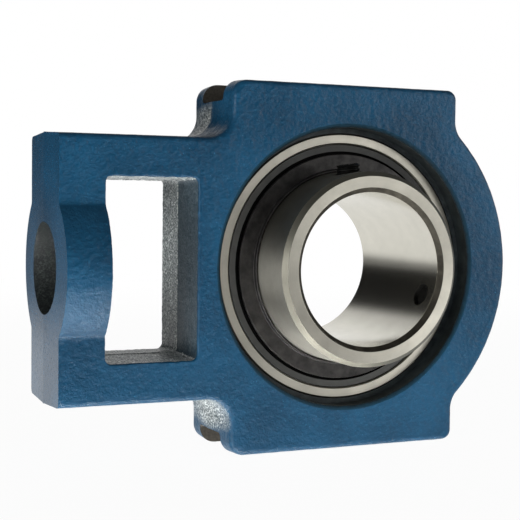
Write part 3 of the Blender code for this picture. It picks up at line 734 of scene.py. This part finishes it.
def bore_profile():
    """The bore's (radius, height) profile: edge breaks, spherical seat and lubrication groove."""
    outside = HALF_SLAB + TOOL_REACH
    flare = BORE_RADIUS + BORE_EDGE_WIDTH * (1 + TOOL_REACH / BORE_EDGE_DEPTH)
    edge = HALF_SLAB - BORE_EDGE_DEPTH
    front, rear = LUBE_PLANE - LUBE_HALF_WIDTH, LUBE_PLANE + LUBE_HALF_WIDTH
    groove = math.sqrt(SEAT_RADIUS**2 - LUBE_PLANE**2) + LUBE_DEPTH
    profile = [(0, -outside), (flare, -outside), (BORE_RADIUS, -edge), (BORE_RADIUS, -HALF_SEAT)]
    profile += sphere_section(SEAT_RADIUS, -HALF_SEAT, front, 12)
    profile += [(groove, front), (groove, rear)]
    profile += sphere_section(SEAT_RADIUS, rear, HALF_SEAT, 4)
    profile += [(BORE_RADIUS, HALF_SEAT), (BORE_RADIUS, edge), (flare, outside), (0, outside)]
    return profile


def sphere_section(radius, start, end, steps):
    """(radius, height) points along a sphere between two planes."""
    first, last = (math.degrees(math.asin(height / radius)) for height in (start, end))
    return arc(0, 0, radius, first, last, steps)


def bore_tool(bored, edge):
    """The bore's tool. Its flares leave the painted edge break."""
    tool = turned("bore_tool", bore_profile())
    return finished(tool, bored, edge, zone=lambda at, normal: int(0.3 < abs(normal.y) < 0.95))


def slot_tool(bored):
    """The tool for the two loading slots behind the seat."""
    spread = math.degrees(math.asin(SLOT_HALF_WIDTH / SLOT_RADIUS))
    outline = arc(0, 0, SLOT_RADIUS, 90 - spread, 90 + spread, 16)
    outline += arc(0, 0, SLOT_RADIUS, 270 - spread, 270 + spread, 16)
    ends = (SLOT_START, HALF_SLAB - BORE_EDGE_DEPTH)
    rings = [[BEARING + Vector((x, y, z)) for x, z in outline] for y in ends]
    return finished(lofted("slot_tool", rings), bored)


def groove_tool(side, milled):
    """The tool for one guide groove: side 1 is the upper, -1 the lower."""
    root_y, root_z = GUIDE_HALF_WIDTH - GUIDE_ROOT, GUIDE_FLOOR + GUIDE_ROOT
    mouth = FLANGE_TOP + TOOL_REACH
    section = [(-GUIDE_HALF_WIDTH, mouth)] + arc(-root_y, root_z, GUIDE_ROOT, 180, 270, 6)
    section += arc(root_y, root_z, GUIDE_ROOT, 270, 360, 6) + [(GUIDE_HALF_WIDTH, mouth)]
    ends = (GUIDE_NOSE - TOOL_REACH, GUIDE_TAIL + TOOL_REACH)
    rings = [[BEARING + Vector((x, y, side * z)) for y, z in section] for x in ends]
    return finished(lofted("groove_tool", rings), milled)


def nose_end_tool(paint):
    """The tool for the nose's end, which falls away on both sides of the parting plane."""
    far = NOSE_END - NOSE_SURPLUS - TOOL_REACH
    side = BOSS_RADIUS + TOOL_REACH
    section = [(far, -side), (NOSE_END + side * NOSE_DRAFT, -side), (NOSE_END, 0)]
    section += [(NOSE_END + side * NOSE_DRAFT, side), (far, side)]
    rings = [[BEARING + Vector((x, y, z)) for x, y in section] for z in (-FLANGE_TOP, FLANGE_TOP)]
    return finished(lofted("nose_end_tool", rings), paint)


def spaced(outline, gap):
    """A closed outline with points added where they lie further apart than a gap."""
    points = []
    for (ax, az), (bx, bz) in zip(outline, outline[1:] + outline[:1]):
        parts = max(1, round(math.hypot(bx - ax, bz - az) / gap))
        points += [(ax + (bx - ax) * step / parts, az + (bz - az) * step / parts) for step in range(parts)]
    return points


def roughened(tool):
    """A tool with a sand core's surface."""
    moves = [vertex.normal * WALL_GRAIN_HEIGHT * noise.fractal(vertex.co * WALL_GRAIN_SCALE, *SAND_MIX)
             for vertex in tool.data.vertices]
    for vertex, move in zip(tool.data.vertices, moves):
        vertex.co += move
    return tool


def window_growth(depth):
    """The window's widening at a depth from the parting plane: by draft less flash, and by its edge."""
    past_edge = min(1, max(0, (depth - HALF_SLAB) / WINDOW_EDGE_ROUND + 1))
    edge = WINDOW_EDGE_ROUND * (1 - math.sqrt(1 - past_edge**2))
    return depth * DRAFT - FLASH_HEIGHT * max(0, 1 - depth / FLASH_REACH), edge


def window_tool(paint, sandy, misted, flash):
    """The nut window's core. Its edges are rounded where it leaves the slab, and square in the boss."""
    core_x, core_z = WINDOW_HALF_LENGTH - WINDOW_CORNER, WINDOW_HALF_HEIGHT - WINDOW_CORNER
    outline = []
    for start, (side_x, side_z) in zip((0, 90, 180, 270), ((1, 1), (-1, 1), (-1, -1), (1, -1))):
        outline += arc(side_x * core_x, side_z * core_z, WINDOW_CORNER, start, start + 90, 6)
    outline = spaced(outline, CELL)
    wall_end = HALF_SLAB - WINDOW_EDGE_ROUND
    wall_rows = np.linspace(FLASH_REACH, wall_end, round(wall_end / CELL))
    edge_rows = [wall_end + WINDOW_EDGE_ROUND * share for share in WINDOW_EDGE_ROWS]
    depths = np.array([*wall_rows, *edge_rows, BOSS_RADIUS + TOOL_REACH])
    rings = []
    for y in (*-depths[::-1], 0, *depths):
        grow, edge = window_growth(abs(y))
        ring = []
        for x, z in outline:
            out_x = (x - min(max(x, -core_x), core_x)) / WINDOW_CORNER
            out_z = (z - min(max(z, -core_z), core_z)) / WINDOW_CORNER
            x += out_x * (grow + (edge if x > 0 else 0))
            ring.append(BEARING + Vector((WINDOW_CENTRE + x, y, z + out_z * (grow + edge))))
        rings.append(ring)
    tool = roughened(lofted("window_tool", rings))
    return finished(tool, paint, sandy, misted, flash, zone=window_zone)


def window_zone(at, normal):
    """0 for the rounded edges, 1 for a wall, 2 for the front halves of the sides, 3 for the flash line."""
    if abs(at.y) < FLASH_REACH:
        return 3
    if abs(at.y) > HALF_SLAB - WINDOW_EDGE_ROUND:
        return 0
    return 2 if at.y < 0 and abs(normal.x) > 0.7 else 1


def screw_hole_tool(cored):
    """The core of the adjusting screw's hole."""
    start, end = NOSE_END - TOOL_REACH, WINDOW_CENTRE
    rows = round((end - start) / CELL)
    wall = [(SCREW_HOLE_RADIUS, start + (end - start) * row / rows) for row in range(rows + 1)]
    tool = turned("hole_tool", [(0, start), *wall, (0, end)], FINE_STEPS // 2, axis=(1, 0, 0))
    return finished(roughened(tool), cored)


def nipple_seat():
    """The nipple's seat point and its outward direction."""
    outward = Vector((math.sin(NIPPLE_TILT), math.cos(NIPPLE_TILT), 0))
    aim = Vector((math.sqrt(SEAT_RADIUS**2 - LUBE_PLANE**2), LUBE_PLANE, 0))
    run = (HALF_SLAB - LUBE_PLANE) / outward.y
    return BEARING + aim + outward * (run - NIPPLE_SPOTFACE_DEPTH), outward, run


def nipple_tool(milled):
    """The tool for the nipple's spotface, tapped hole and passage to the lubrication groove."""
    seat, outward, run = nipple_seat()
    top = NIPPLE_SPOTFACE_DEPTH + TOOL_REACH + NIPPLE_SPOTFACE_RADIUS
    tapping = NIPPLE_THREAD_RADIUS + NIPPLE_HEX_FOOT
    bottom = -NIPPLE_THREAD_LENGTH - NIPPLE_HEX_FOOT
    profile = [(0, LUBE_DEPTH / 2 - run), (NIPPLE_PASSAGE_RADIUS, LUBE_DEPTH / 2 - run)]
    profile += [(NIPPLE_PASSAGE_RADIUS, bottom), (tapping, bottom), (tapping, 0)]
    profile += [(NIPPLE_SPOTFACE_RADIUS, 0), (NIPPLE_SPOTFACE_RADIUS, top), (0, top)]
    return finished(turned("nipple_tool", profile, PLAIN_STEPS, seat, outward), milled)


def mark_sand_and_highlight(casting):
    """Marks where sand shows: the upper shoulder hollow's rear half, where the spray hardly reached, and the
    whole lower hollow, whose pale sand also paints in the highlight of light from below.
    """
    points = np.array([vertex.co for vertex in casting.data.vertices]) - np.array(BEARING)
    x, y, z = points.T
    hollow_x, hollow_z = GUIDE_NOSE - SHOULDER_FILLET, NOSE_TOP + SHOULDER_FILLET
    reach = np.hypot(x - hollow_x, np.abs(z) - hollow_z) - SHOULDER_FILLET
    shoulder = np.clip(HOLLOW_COVER - np.abs(reach) / HOLLOW_REACH, 0, 1)
    shoulder *= np.clip((HALF_SLAB - np.abs(y)) / SLAB_EDGE_ROUND, 0, 1)
    shoulder *= np.where(z > 0, np.clip(0.5 + y / SLAB_EDGE_ROUND, 0, 1), 1)
    attribute = casting.data.attributes.new("sand_and_highlight", "FLOAT", "POINT")
    attribute.data.foreach_set("value", shoulder.astype(np.float32))


def make_housing():
    paint = blue_paint("blue_paint")
    smooth_paint = blue_paint("smooth_paint", smooth=True)
    bored = bored_iron("bored_iron", *BORED_TONES)
    milled = milled_iron("milled_iron", *MILLED_TONES)
    cored = sandy_iron("cored_iron", CORE_DARK, CORE_LIGHT)
    sandy = sandy_iron("sandy_wall", SAND_DARK, SAND_LIGHT)
    misted = sandy_iron("misted_wall", MIST_DARK, MIST_LIGHT)
    flash = sandy_iron("flash_line", FLASH_DARK, FLASH_LIGHT)
    casting = finished(rough_casting(), paint)
    tools = [nose_end_tool(smooth_paint), window_tool(paint, sandy, misted, flash), screw_hole_tool(cored)]
    tools += [groove_tool(1, milled), groove_tool(-1, milled)]
    tools += [bore_tool(bored, edge_paint()), slot_tool(bored), nipple_tool(milled)]
    for tool in tools:
        cut(casting, tool)
    mark_sand_and_highlight(casting)
    shaded(casting, math.radians(40), weighted=False)
    stands_for(casting, "housing", "housing")


def raceway(centre, land, side):
    """A race's (radius, height) arc from front land to rear land: side 1 is the outer race, -1 the inner."""
    spread = math.degrees(math.acos(side * (land - centre) / RACEWAY_RADIUS))
    turn = 0 if side > 0 else 180
    return arc(centre, 0, RACEWAY_RADIUS, turn - side * spread, turn + side * spread, 16)


def outer_ring_profile():
    """The outer ring's (radius, height) profile: spherical outside, seal seats and race."""
    half_sphere = OUTER_HALF - OUTER_CHAMFER
    sphere = sphere_section(SPHERE_RADIUS, -half_sphere, half_sphere, 20)
    shoulder = OUTER_HALF - SEAL_SEAT_DEPTH
    rear = [(sphere[0][0] - OUTER_CHAMFER, OUTER_HALF), (SEAL_SEAT + OUTER_CHAMFER, OUTER_HALF)]
    rear += [(SEAL_SEAT, half_sphere), (SEAL_SEAT, shoulder), (OUTER_LAND, shoulder)]
    race = raceway(PITCH_RADIUS + BALL_RADIUS + RACE_GAP - RACEWAY_RADIUS, OUTER_LAND, 1)
    return sphere + rear + race[::-1] + [(radius, -height) for radius, height in reversed(rear)]


def inner_ring_profile():
    """The inner ring's (radius, height) profile: chamfered bore and outside, and its race."""
    race = raceway(PITCH_RADIUS - BALL_RADIUS - RACE_GAP + RACEWAY_RADIUS, RING_RADIUS, -1)
    profile = [(BORE, RING_FRONT + BORE_CHAMFER), (BORE + BORE_CHAMFER, RING_FRONT)]
    profile += [(RING_RADIUS - RING_CHAMFER, RING_FRONT), (RING_RADIUS, RING_FRONT + RING_CHAMFER)]
    profile += race + [(RING_RADIUS, RING_REAR - RING_CHAMFER), (RING_RADIUS - RING_CHAMFER, RING_REAR)]
    return profile + [(BORE + BORE_CHAMFER, RING_REAR), (BORE, RING_REAR - BORE_CHAMFER)]


def ring_zone(at, normal):
    """0 for flat faces, 1 for outside and races, 2 for the bore, 3 for inner and 4 for outer chamfers."""
    outside = math.hypot(at.x, at.z) > BORE + BORE_CHAMFER
    if abs(normal.y) > 0.95:
        return 0
    if abs(normal.y) > 0.5:
        return 4 if outside else 3
    return 1 if outside else 2


def make_rings():
    face = ground_steel("ground_face", FACE_STEEL, 0.34, turned_grain=0.5)
    outside = ground_steel("turned_outside", OUTSIDE_STEEL, 0.38, along_axis=True, turned_grain=0.85)
    bore = ground_steel("polished_bore", BORE_STEEL, 0.20, along_axis=True, stain=0.05)
    # Darker chamfer steel paints in dark reflection and shade
    inner_chamfer = coated_steel("bore_chamfer_shade", *CHAMFER_SHADE_TONES, 0.6)
    outer_chamfer = ground_steel("chamfer_dark_reflection", CHAMFER_DARK_REFLECTION, 0.45)
    finishes = (face, outside, bore, inner_chamfer, outer_chamfer)
    hole = coated_steel("tapped_hole", *HOLE_TONES, 0.5)
    outer = turned("outer_ring_ground", softened(outer_ring_profile(), EDGE_EASE))
    finished(outer, *finishes, zone=ring_zone)
    for side in (-1, 1):
        foot = BEARING + Vector((0, LUBE_PLANE, side * OUTER_LAND))
        drill = rod_profile(LUBE_HOLE_RADIUS, -TOOL_REACH / 2, SPHERE_RADIUS - OUTER_LAND + TOOL_REACH)
        cut(outer, finished(turned("lube_drill", drill, SMALL_STEPS // 2, foot, (0, 0, side)), hole))
    stands_for(shaded(outer), "outer_ring", "outer_race")
    inner = turned("inner_ring_ground", softened(inner_ring_profile(), EDGE_EASE))
    finished(inner, *finishes, zone=ring_zone)
    for clock in SCREW_CLOCKS:
        cut(inner, finished(screw_drill(clock), hole))
    stands_for(shaded(inner), "inner_ring", "inner_race")


def rod_profile(radius, start, end):
    return [(0, start), (radius, start), (radius, end), (0, end)]


def clock_direction(clock):
    return Vector((math.cos(clock), 0, math.sin(clock)))


def screw_drill(clock):
    """The tool for a set screw's hole, countersunk at the ring's outside, with a lip left at its bore."""
    wall_in, wall_out = BORE, RING_RADIUS
    wide, narrow = SCREW_HOLE_IN_RING + COUNTERSINK, SCREW_HOLE_IN_RING - SCREW_HOLE_LIP
    lip_top = wall_in + SCREW_HOLE_LIP_DEPTH
    profile = [(0, wall_in - TOOL_REACH), (narrow, wall_in - TOOL_REACH), (narrow, lip_top)]
    profile += [(SCREW_HOLE_IN_RING, lip_top), (SCREW_HOLE_IN_RING, wall_out - COUNTERSINK)]
    profile += [(wide, wall_out), (wide, wall_out + TOOL_REACH), (0, wall_out + TOOL_REACH)]
    level = BEARING + Vector((0, SCREW_PLANE, 0))
    return turned("screw_drill", profile, PLAIN_STEPS, level, clock_direction(clock))


def thread_radius(turn, height):
    """A set screw's radius at a turn (0 to 1) and a height, with chamfered ends and a helical groove."""
    phase = (height / SCREW_PITCH - turn) % 1
    groove = min(1, max(0, THREAD_FLANK * abs(2 * phase - 1) - THREAD_ROOT))
    foot, top = SCREW_CHAMFER * SCREW_FOOT_SHARE, SCREW_CHAMFER * SCREW_TOP_SHARE
    chamfer = min(SCREW_CHAMFER, height + foot, SCREW_LENGTH - height + top)
    return min(SCREW_RADIUS - SCREW_THREAD_DEPTH * (1 - groove), SCREW_RADIUS - SCREW_CHAMFER + chamfer)


def make_set_screws():
    """M10 cup-point set screws with a real thread and a hexagon socket."""
    black = coated_steel("black_oxide", *OXIDE_TONES, 0.5)
    rows = round(SCREW_LENGTH / SCREW_PITCH * ROWS_PER_PITCH)
    for index, clock in enumerate(SCREW_CLOCKS, start=1):
        outward = clock_direction(clock)
        foot = BEARING + Vector((0, SCREW_PLANE, 0)) + outward * (SCREW_TOP - SCREW_LENGTH)
        rings = [polar_ring(lambda turn: SCREW_CUP_RADIUS * SCREW_CUP_SHARE, SCREW_CHAMFER / 2, SMALL_STEPS)]
        rings.append(polar_ring(lambda turn: SCREW_CUP_RADIUS, 0, SMALL_STEPS))
        for row in range(rows + 1):
            height = SCREW_LENGTH * row / rows
            rings.append(polar_ring(lambda turn: thread_radius(turn, height), height, SMALL_STEPS))
        screw = finished(lofted(f"set_screw_{index}_threaded", stood_up(rings, foot, outward)), black)
        floor = SCREW_LENGTH - SCREW_SOCKET_DEPTH
        cone = hexagon(SCREW_SOCKET_WIDTH * SOCKET_CONE_SHARE)
        mouth = hexagon(SCREW_SOCKET_WIDTH + 2 * SOCKET_SURPLUS)
        socket = [[(x, floor - SOCKET_CONE_DEPTH, z) for x, z in cone]]
        socket += [[(x, y, z) for x, z in hexagon(SCREW_SOCKET_WIDTH)] for y in (floor, SCREW_LENGTH)]
        socket += [[(x, SCREW_LENGTH + SOCKET_SURPLUS, z) for x, z in mouth]]
        cut(screw, finished(lofted("socket_tool", stood_up(socket, foot, outward)), black))
        stands_for(shaded(screw, weighted=False), f"set_screw_{index}", f"set_screw_{index}")


def polar_ring(radius_at, height, steps):
    """A ring of (across, along, across) points whose radius depends on the turn, from 0 to 1."""
    ring = []
    for step in range(steps):
        turn = step / steps
        angle = math.tau * turn
        ring.append((radius_at(turn) * math.cos(angle), height, radius_at(turn) * math.sin(angle)))
    return ring


def seal_profile():
    """A front seal's (radius, depth) profile: bead in its seat, body, lip on the inner ring and hollow."""
    face = OUTER_HALF - SEAL_RECESS
    back = face - SEAL_THICKNESS
    bead_back = face - SEAL_BEAD_THICKNESS
    bead, lip = SEAL_SEAT - FIT_GAP, RING_RADIUS + FIT_GAP
    rib = bead - SEAL_BEAD_WIDTH
    profile = [(bead, face), (bead, bead_back), (rib, bead_back), (rib, back)]
    lip_end = back - SEAL_LIP_LENGTH
    profile += [(lip + 2 * SEAL_LIP, back), (lip + SEAL_LIP, lip_end), (lip, lip_end)]
    hollow = face - SEAL_HOLLOW_DEPTH
    return profile + [(lip + SEAL_LIP, hollow), (SEAL_HOLLOW_RADIUS, hollow), (SEAL_HOLLOW_RADIUS, face)]


def seal_zone(at, normal):
    """1 for the hollow under the flinger's rim, which takes near-black rubber as painted shade, 0 elsewhere.
    """
    return int(math.hypot(at.x, at.z) < SEAL_HOLLOW_RADIUS + SEAL_STEP / 2)


def flinger_profile():
    """A front flinger's (radius, depth) profile: rim over the seal's hollow, disc and collar."""
    front = OUTER_HALF + FLINGER_PROUD
    back = front - FLINGER_THICKNESS
    rim_back = OUTER_HALF - SEAL_RECESS + FIT_GAP
    bore = RING_RADIUS + FIT_GAP
    collar = bore + FLINGER_THICKNESS
    inside = FLINGER_RIM - FLINGER_THICKNESS
    profile = [(bore, back), (inside, back), (inside, rim_back)]
    profile += [(FLINGER_RIM, rim_back), (FLINGER_RIM, front)]
    return profile + [(collar, front), (collar, front + FLINGER_COLLAR), (bore, front + FLINGER_COLLAR)]


def make_seals():
    black_rubber = rubber("seal_rubber", *RUBBER_TONES)
    # The hollow's near-black rubber is painted shade under the flinger's rim
    shaded_rubber = rubber("seal_painted_shade", *PAINTED_SHADE_TONES, specular=0.02)
    dark = coated_steel("dark_steel", *FLINGER_TONES, 0.42)
    for end, side in (("front", -1), ("rear", 1)):
        seal = turned(f"seal_{end}_moulded", [(r, side * y) for r, y in softened(seal_profile(), SEAL_STEP)])
        finished(seal, black_rubber, shaded_rubber, zone=seal_zone)
        stands_for(shaded(seal), f"seal_{end}", "outer_race")
        flinger = [(r, side * y) for r, y in softened(flinger_profile(), FLINGER_THICKNESS / 2, 5)]
        flinger = turned(f"flinger_{end}_pressed", flinger)
        stands_for(shaded(finished(flinger, dark)), f"flinger_{end}", "inner_race")


def make_balls():
    polished = Finish("ball_steel", roughness=0.09, metallic=1.0)
    tone = polished.between(polished.noise(500, 3), 0.3, 0.7)
    polished.set("Base Color", polished.blend(tone, *BALL_TONES))
    for index in range(1, 11):
        name = f"ball_{index:02d}"
        low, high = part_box(name)
        half_circle = arc(0, 0, BALL_RADIUS, -90, 90, SMALL_STEPS // 2)
        ball = turned(f"{name}_fine", half_circle, SMALL_STEPS, (low + high) / 2)
        stands_for(shaded(finished(ball, polished.material), weighted=False), name, name)


def dress_cage():
    pressed = coated_steel("cage_steel", *CAGE_TONES, 0.34)
    for name in NODES:
        if name.startswith("cage_"):
            finished(NODES[name], pressed)


def make_nipple():
    """A grease nipple: hexagon with chamfered corners, waisted head and a check ball in its mouth."""
    plated = coated_steel("zinc_plate", *ZINC_TONES, 0.27)
    seat, outward, _ = nipple_seat()
    bulge = NIPPLE_HEAD_RADIUS - NIPPLE_NECK_RADIUS
    head_foot = NIPPLE_TIP - NIPPLE_HEAD_LENGTH
    middle = (NIPPLE_HEX_FOOT + NIPPLE_HEX_TOP) / 2
    profile = [(0, -NIPPLE_THREAD_LENGTH), (NIPPLE_THREAD_RADIUS, -NIPPLE_THREAD_LENGTH)]
    profile += [(NIPPLE_THREAD_RADIUS, middle), (NIPPLE_NECK_RADIUS, middle), (NIPPLE_NECK_RADIUS, head_foot)]
    profile += [(NIPPLE_HEAD_RADIUS, head_foot + bulge), (NIPPLE_HEAD_RADIUS, NIPPLE_TIP - bulge)]
    profile += [(NIPPLE_NECK_RADIUS, NIPPLE_TIP), (NIPPLE_MOUTH_RADIUS, NIPPLE_TIP)]
    profile += [(NIPPLE_MOUTH_RADIUS, NIPPLE_TIP - NIPPLE_MOUTH_DEPTH), (0, NIPPLE_TIP - NIPPLE_MOUTH_DEPTH)]
    nipple = turned("grease_nipple_fine", softened(profile, NIPPLE_EASE), PLAIN_STEPS, seat, outward)
    finished(nipple, plated)
    rings = []
    corner = NIPPLE_HEX_WIDTH / math.sqrt(3)
    ends = ((NIPPLE_HEX_FOOT, NIPPLE_HEX_END_SHARE), (NIPPLE_HEX_FOOT + NIPPLE_HEX_CHAMFER, 1))
    ends += ((NIPPLE_HEX_TOP - NIPPLE_HEX_CHAMFER, 1), (NIPPLE_HEX_TOP, NIPPLE_HEX_END_SHARE))
    for height, share in ends:
        limit = corner * share
        rings.append(polar_ring(lambda turn: min(limit, hex_edge(turn, NIPPLE_HEX_WIDTH)), height, HEX_STEPS))
    nut = finished(lofted("nipple_hexagon", stood_up(rings, seat, outward)), plated)
    join = nipple.modifiers.new("hexagon", "BOOLEAN")
    join.operation = "UNION"
    join.object = nut
    applied(nipple, [nut])
    stands_for(shaded(nipple), "grease_nipple", "housing")
    half_circle = arc(0, 0, NIPPLE_MOUTH_RADIUS * CHECK_BALL_SHARE, -90, 90, SMALL_STEPS // 4)
    place = seat + outward * (NIPPLE_TIP - NIPPLE_MOUTH_RADIUS)
    check = turned("nipple_check_ball", half_circle, SMALL_STEPS // 2, place, outward)
    finished(check, plated)
    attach(shaded(check, weighted=False), "housing")


def hex_edge(turn, width):
    """Distance from a hexagon's centre to its edge at a turn, from 0 to 1."""
    angle = (turn * math.tau) % (math.pi / 3) - math.pi / 6
    return width / 2 / math.cos(angle)


def make_floor():
    """A pale floor that shows white, takes the part's shadow and mirrors darker in front and at the gap."""
    corners = [(FLOOR_HALF * x, FLOOR_HALF * y) for x, y in ((-1, -1), (1, -1), (1, 1), (-1, 1))]
    floor = lofted("floor", [[(x, y, z) for x, y in corners] for z in (FLOOR_BOTTOM, FLOOR_TOP)])
    pale = Finish("pale_floor", FLOOR_PALE, 0.7)
    rays = pale.node("LightPath").outputs
    mirrored = pale.math("MAXIMUM", rays["Is Glossy Ray"], rays["Is Transmission Ray"])
    distance = pale.vector("LENGTH", pale.place)
    glow_share = pale.between(distance, *FLOOR_GLOW_REACH, FLOOR_GLOW_NEAR, 1, "SMOOTHSTEP")
    depth = pale.node("SeparateXYZ", {0: pale.place}).outputs["Y"]
    front = pale.between(depth, *FLOOR_FRONT_REACH, FLOOR_GLOW_FRONT, 1, "SMOOTHSTEP")
    toward_gap = pale.vector("DOT_PRODUCT", pale.vector("NORMALIZE", pale.place), heading(GAP_YAW))
    gap = pale.math("MULTIPLY", pale.between(toward_gap, *GAP_SPAN), pale.between(distance, *FLOOR_GAP_REACH))
    dimmed = pale.math("MULTIPLY", front, pale.between(gap, 0, 1, 1, 0))
    seen = pale.math("MULTIPLY_ADD", mirrored, dimmed, rays["Is Camera Ray"])
    glow = pale.node("Emission", {"Color": (1, 1, 1, 1), "Strength": 1.0}).outputs[0]
    share = pale.math("MULTIPLY", seen, glow_share)
    mix = pale.node("MixShader", {0: share, 1: pale.shader.outputs[0], 2: glow}).outputs[0]
    pale.feed(pale.tree.nodes["Material Output"].inputs["Surface"], mix)
    finished(floor, pale.material)
    floor.visible_shadow = False


def area_lamp(name, place, size, power):
    lamp = bpy.data.lights.new(name, "AREA")
    lamp.size = size
    lamp.energy = power
    item = bpy.data.objects.new(name, lamp)
    bpy.context.scene.collection.objects.link(item)
    item.location = place
    item.rotation_euler = (BEARING - Vector(place)).to_track_quat("-Z", "Y").to_euler()
    return item


def heading(yaw, pitch=0):
    """A direction from its turn past +Y toward +X and its rise, both in degrees."""
    yaw, pitch = math.radians(yaw), math.radians(pitch)
    return Vector((math.sin(yaw) * math.cos(pitch), math.cos(yaw) * math.cos(pitch), math.sin(pitch)))


def make_light():
    """A studio seen as white. It lights by a backdrop, a dark gap beside it, a dim room and three lamps."""
    world = bpy.data.worlds.new("studio")
    bpy.context.scene.world = world
    world.use_nodes = True
    studio = Network(world.node_tree)
    direction = studio.node("TexCoord").outputs["Generated"]
    facing = studio.vector("DOT_PRODUCT", direction, heading(BACKDROP_YAW))
    level = studio.between(facing, *BACKDROP_SPAN, ROOM_LEVEL, 1, "SMOOTHSTEP")
    rise = studio.node("SeparateXYZ", {0: direction}).outputs["Z"]
    overhead = studio.between(rise, *OVERHEAD_SPAN, 0, 1, "SMOOTHSTEP")
    level = studio.math("MULTIPLY_ADD", overhead, studio.math("SUBTRACT", OVERHEAD_LEVEL, level), level)
    toward_gap = studio.vector("DOT_PRODUCT", direction, heading(GAP_YAW, GAP_PITCH))
    level = studio.math("MULTIPLY", level, studio.between(toward_gap, *GAP_SPAN, 1, GAP_SHARE, "SMOOTHSTEP"))
    level = studio.math("MAXIMUM", level, studio.node("LightPath").outputs["Is Camera Ray"])
    studio.feed(studio.tree.nodes["Background"].inputs["Color"], level)
    area_lamp("key", KEY_PLACE, LAMP_SIZE, KEY_POWER)
    area_lamp("fill", FILL_PLACE, LAMP_SIZE, FILL_POWER)
    table = area_lamp("table", TABLE_PLACE, TABLE_SIZE, TABLE_POWER)
    table.data.cycles.use_multiple_importance_sampling = False


def make_camera():
    data = bpy.data.cameras.new("camera")
    data.sensor_width = SENSOR_WIDTH
    data.lens = FOCAL_PIXELS / FRAME_PIXELS * data.sensor_width
    data.shift_x, data.shift_y = -CENTRE_RIGHT / FRAME_PIXELS, -CENTRE_UP / FRAME_PIXELS
    data.clip_start, data.clip_end = CAMERA_CLIP
    camera = bpy.data.objects.new("camera", data)
    bpy.context.scene.collection.objects.link(camera)
    place = Matrix.Translation(BEARING + Vector(CAMERA_PLACE))
    aim = heading(CAMERA_YAW, CAMERA_PITCH).to_track_quat("-Z", "Y").to_matrix().to_4x4()
    camera.matrix_world = place @ aim @ Matrix.Rotation(math.radians(CAMERA_ROLL), 4, "Z")
    bpy.context.scene.camera = camera


make_camera()
make_housing()
make_rings()
make_set_screws()
make_seals()
make_balls()
dress_cage()
make_nipple()
make_floor()
make_light()
bpy.context.scene.view_settings.view_transform = "Standard"
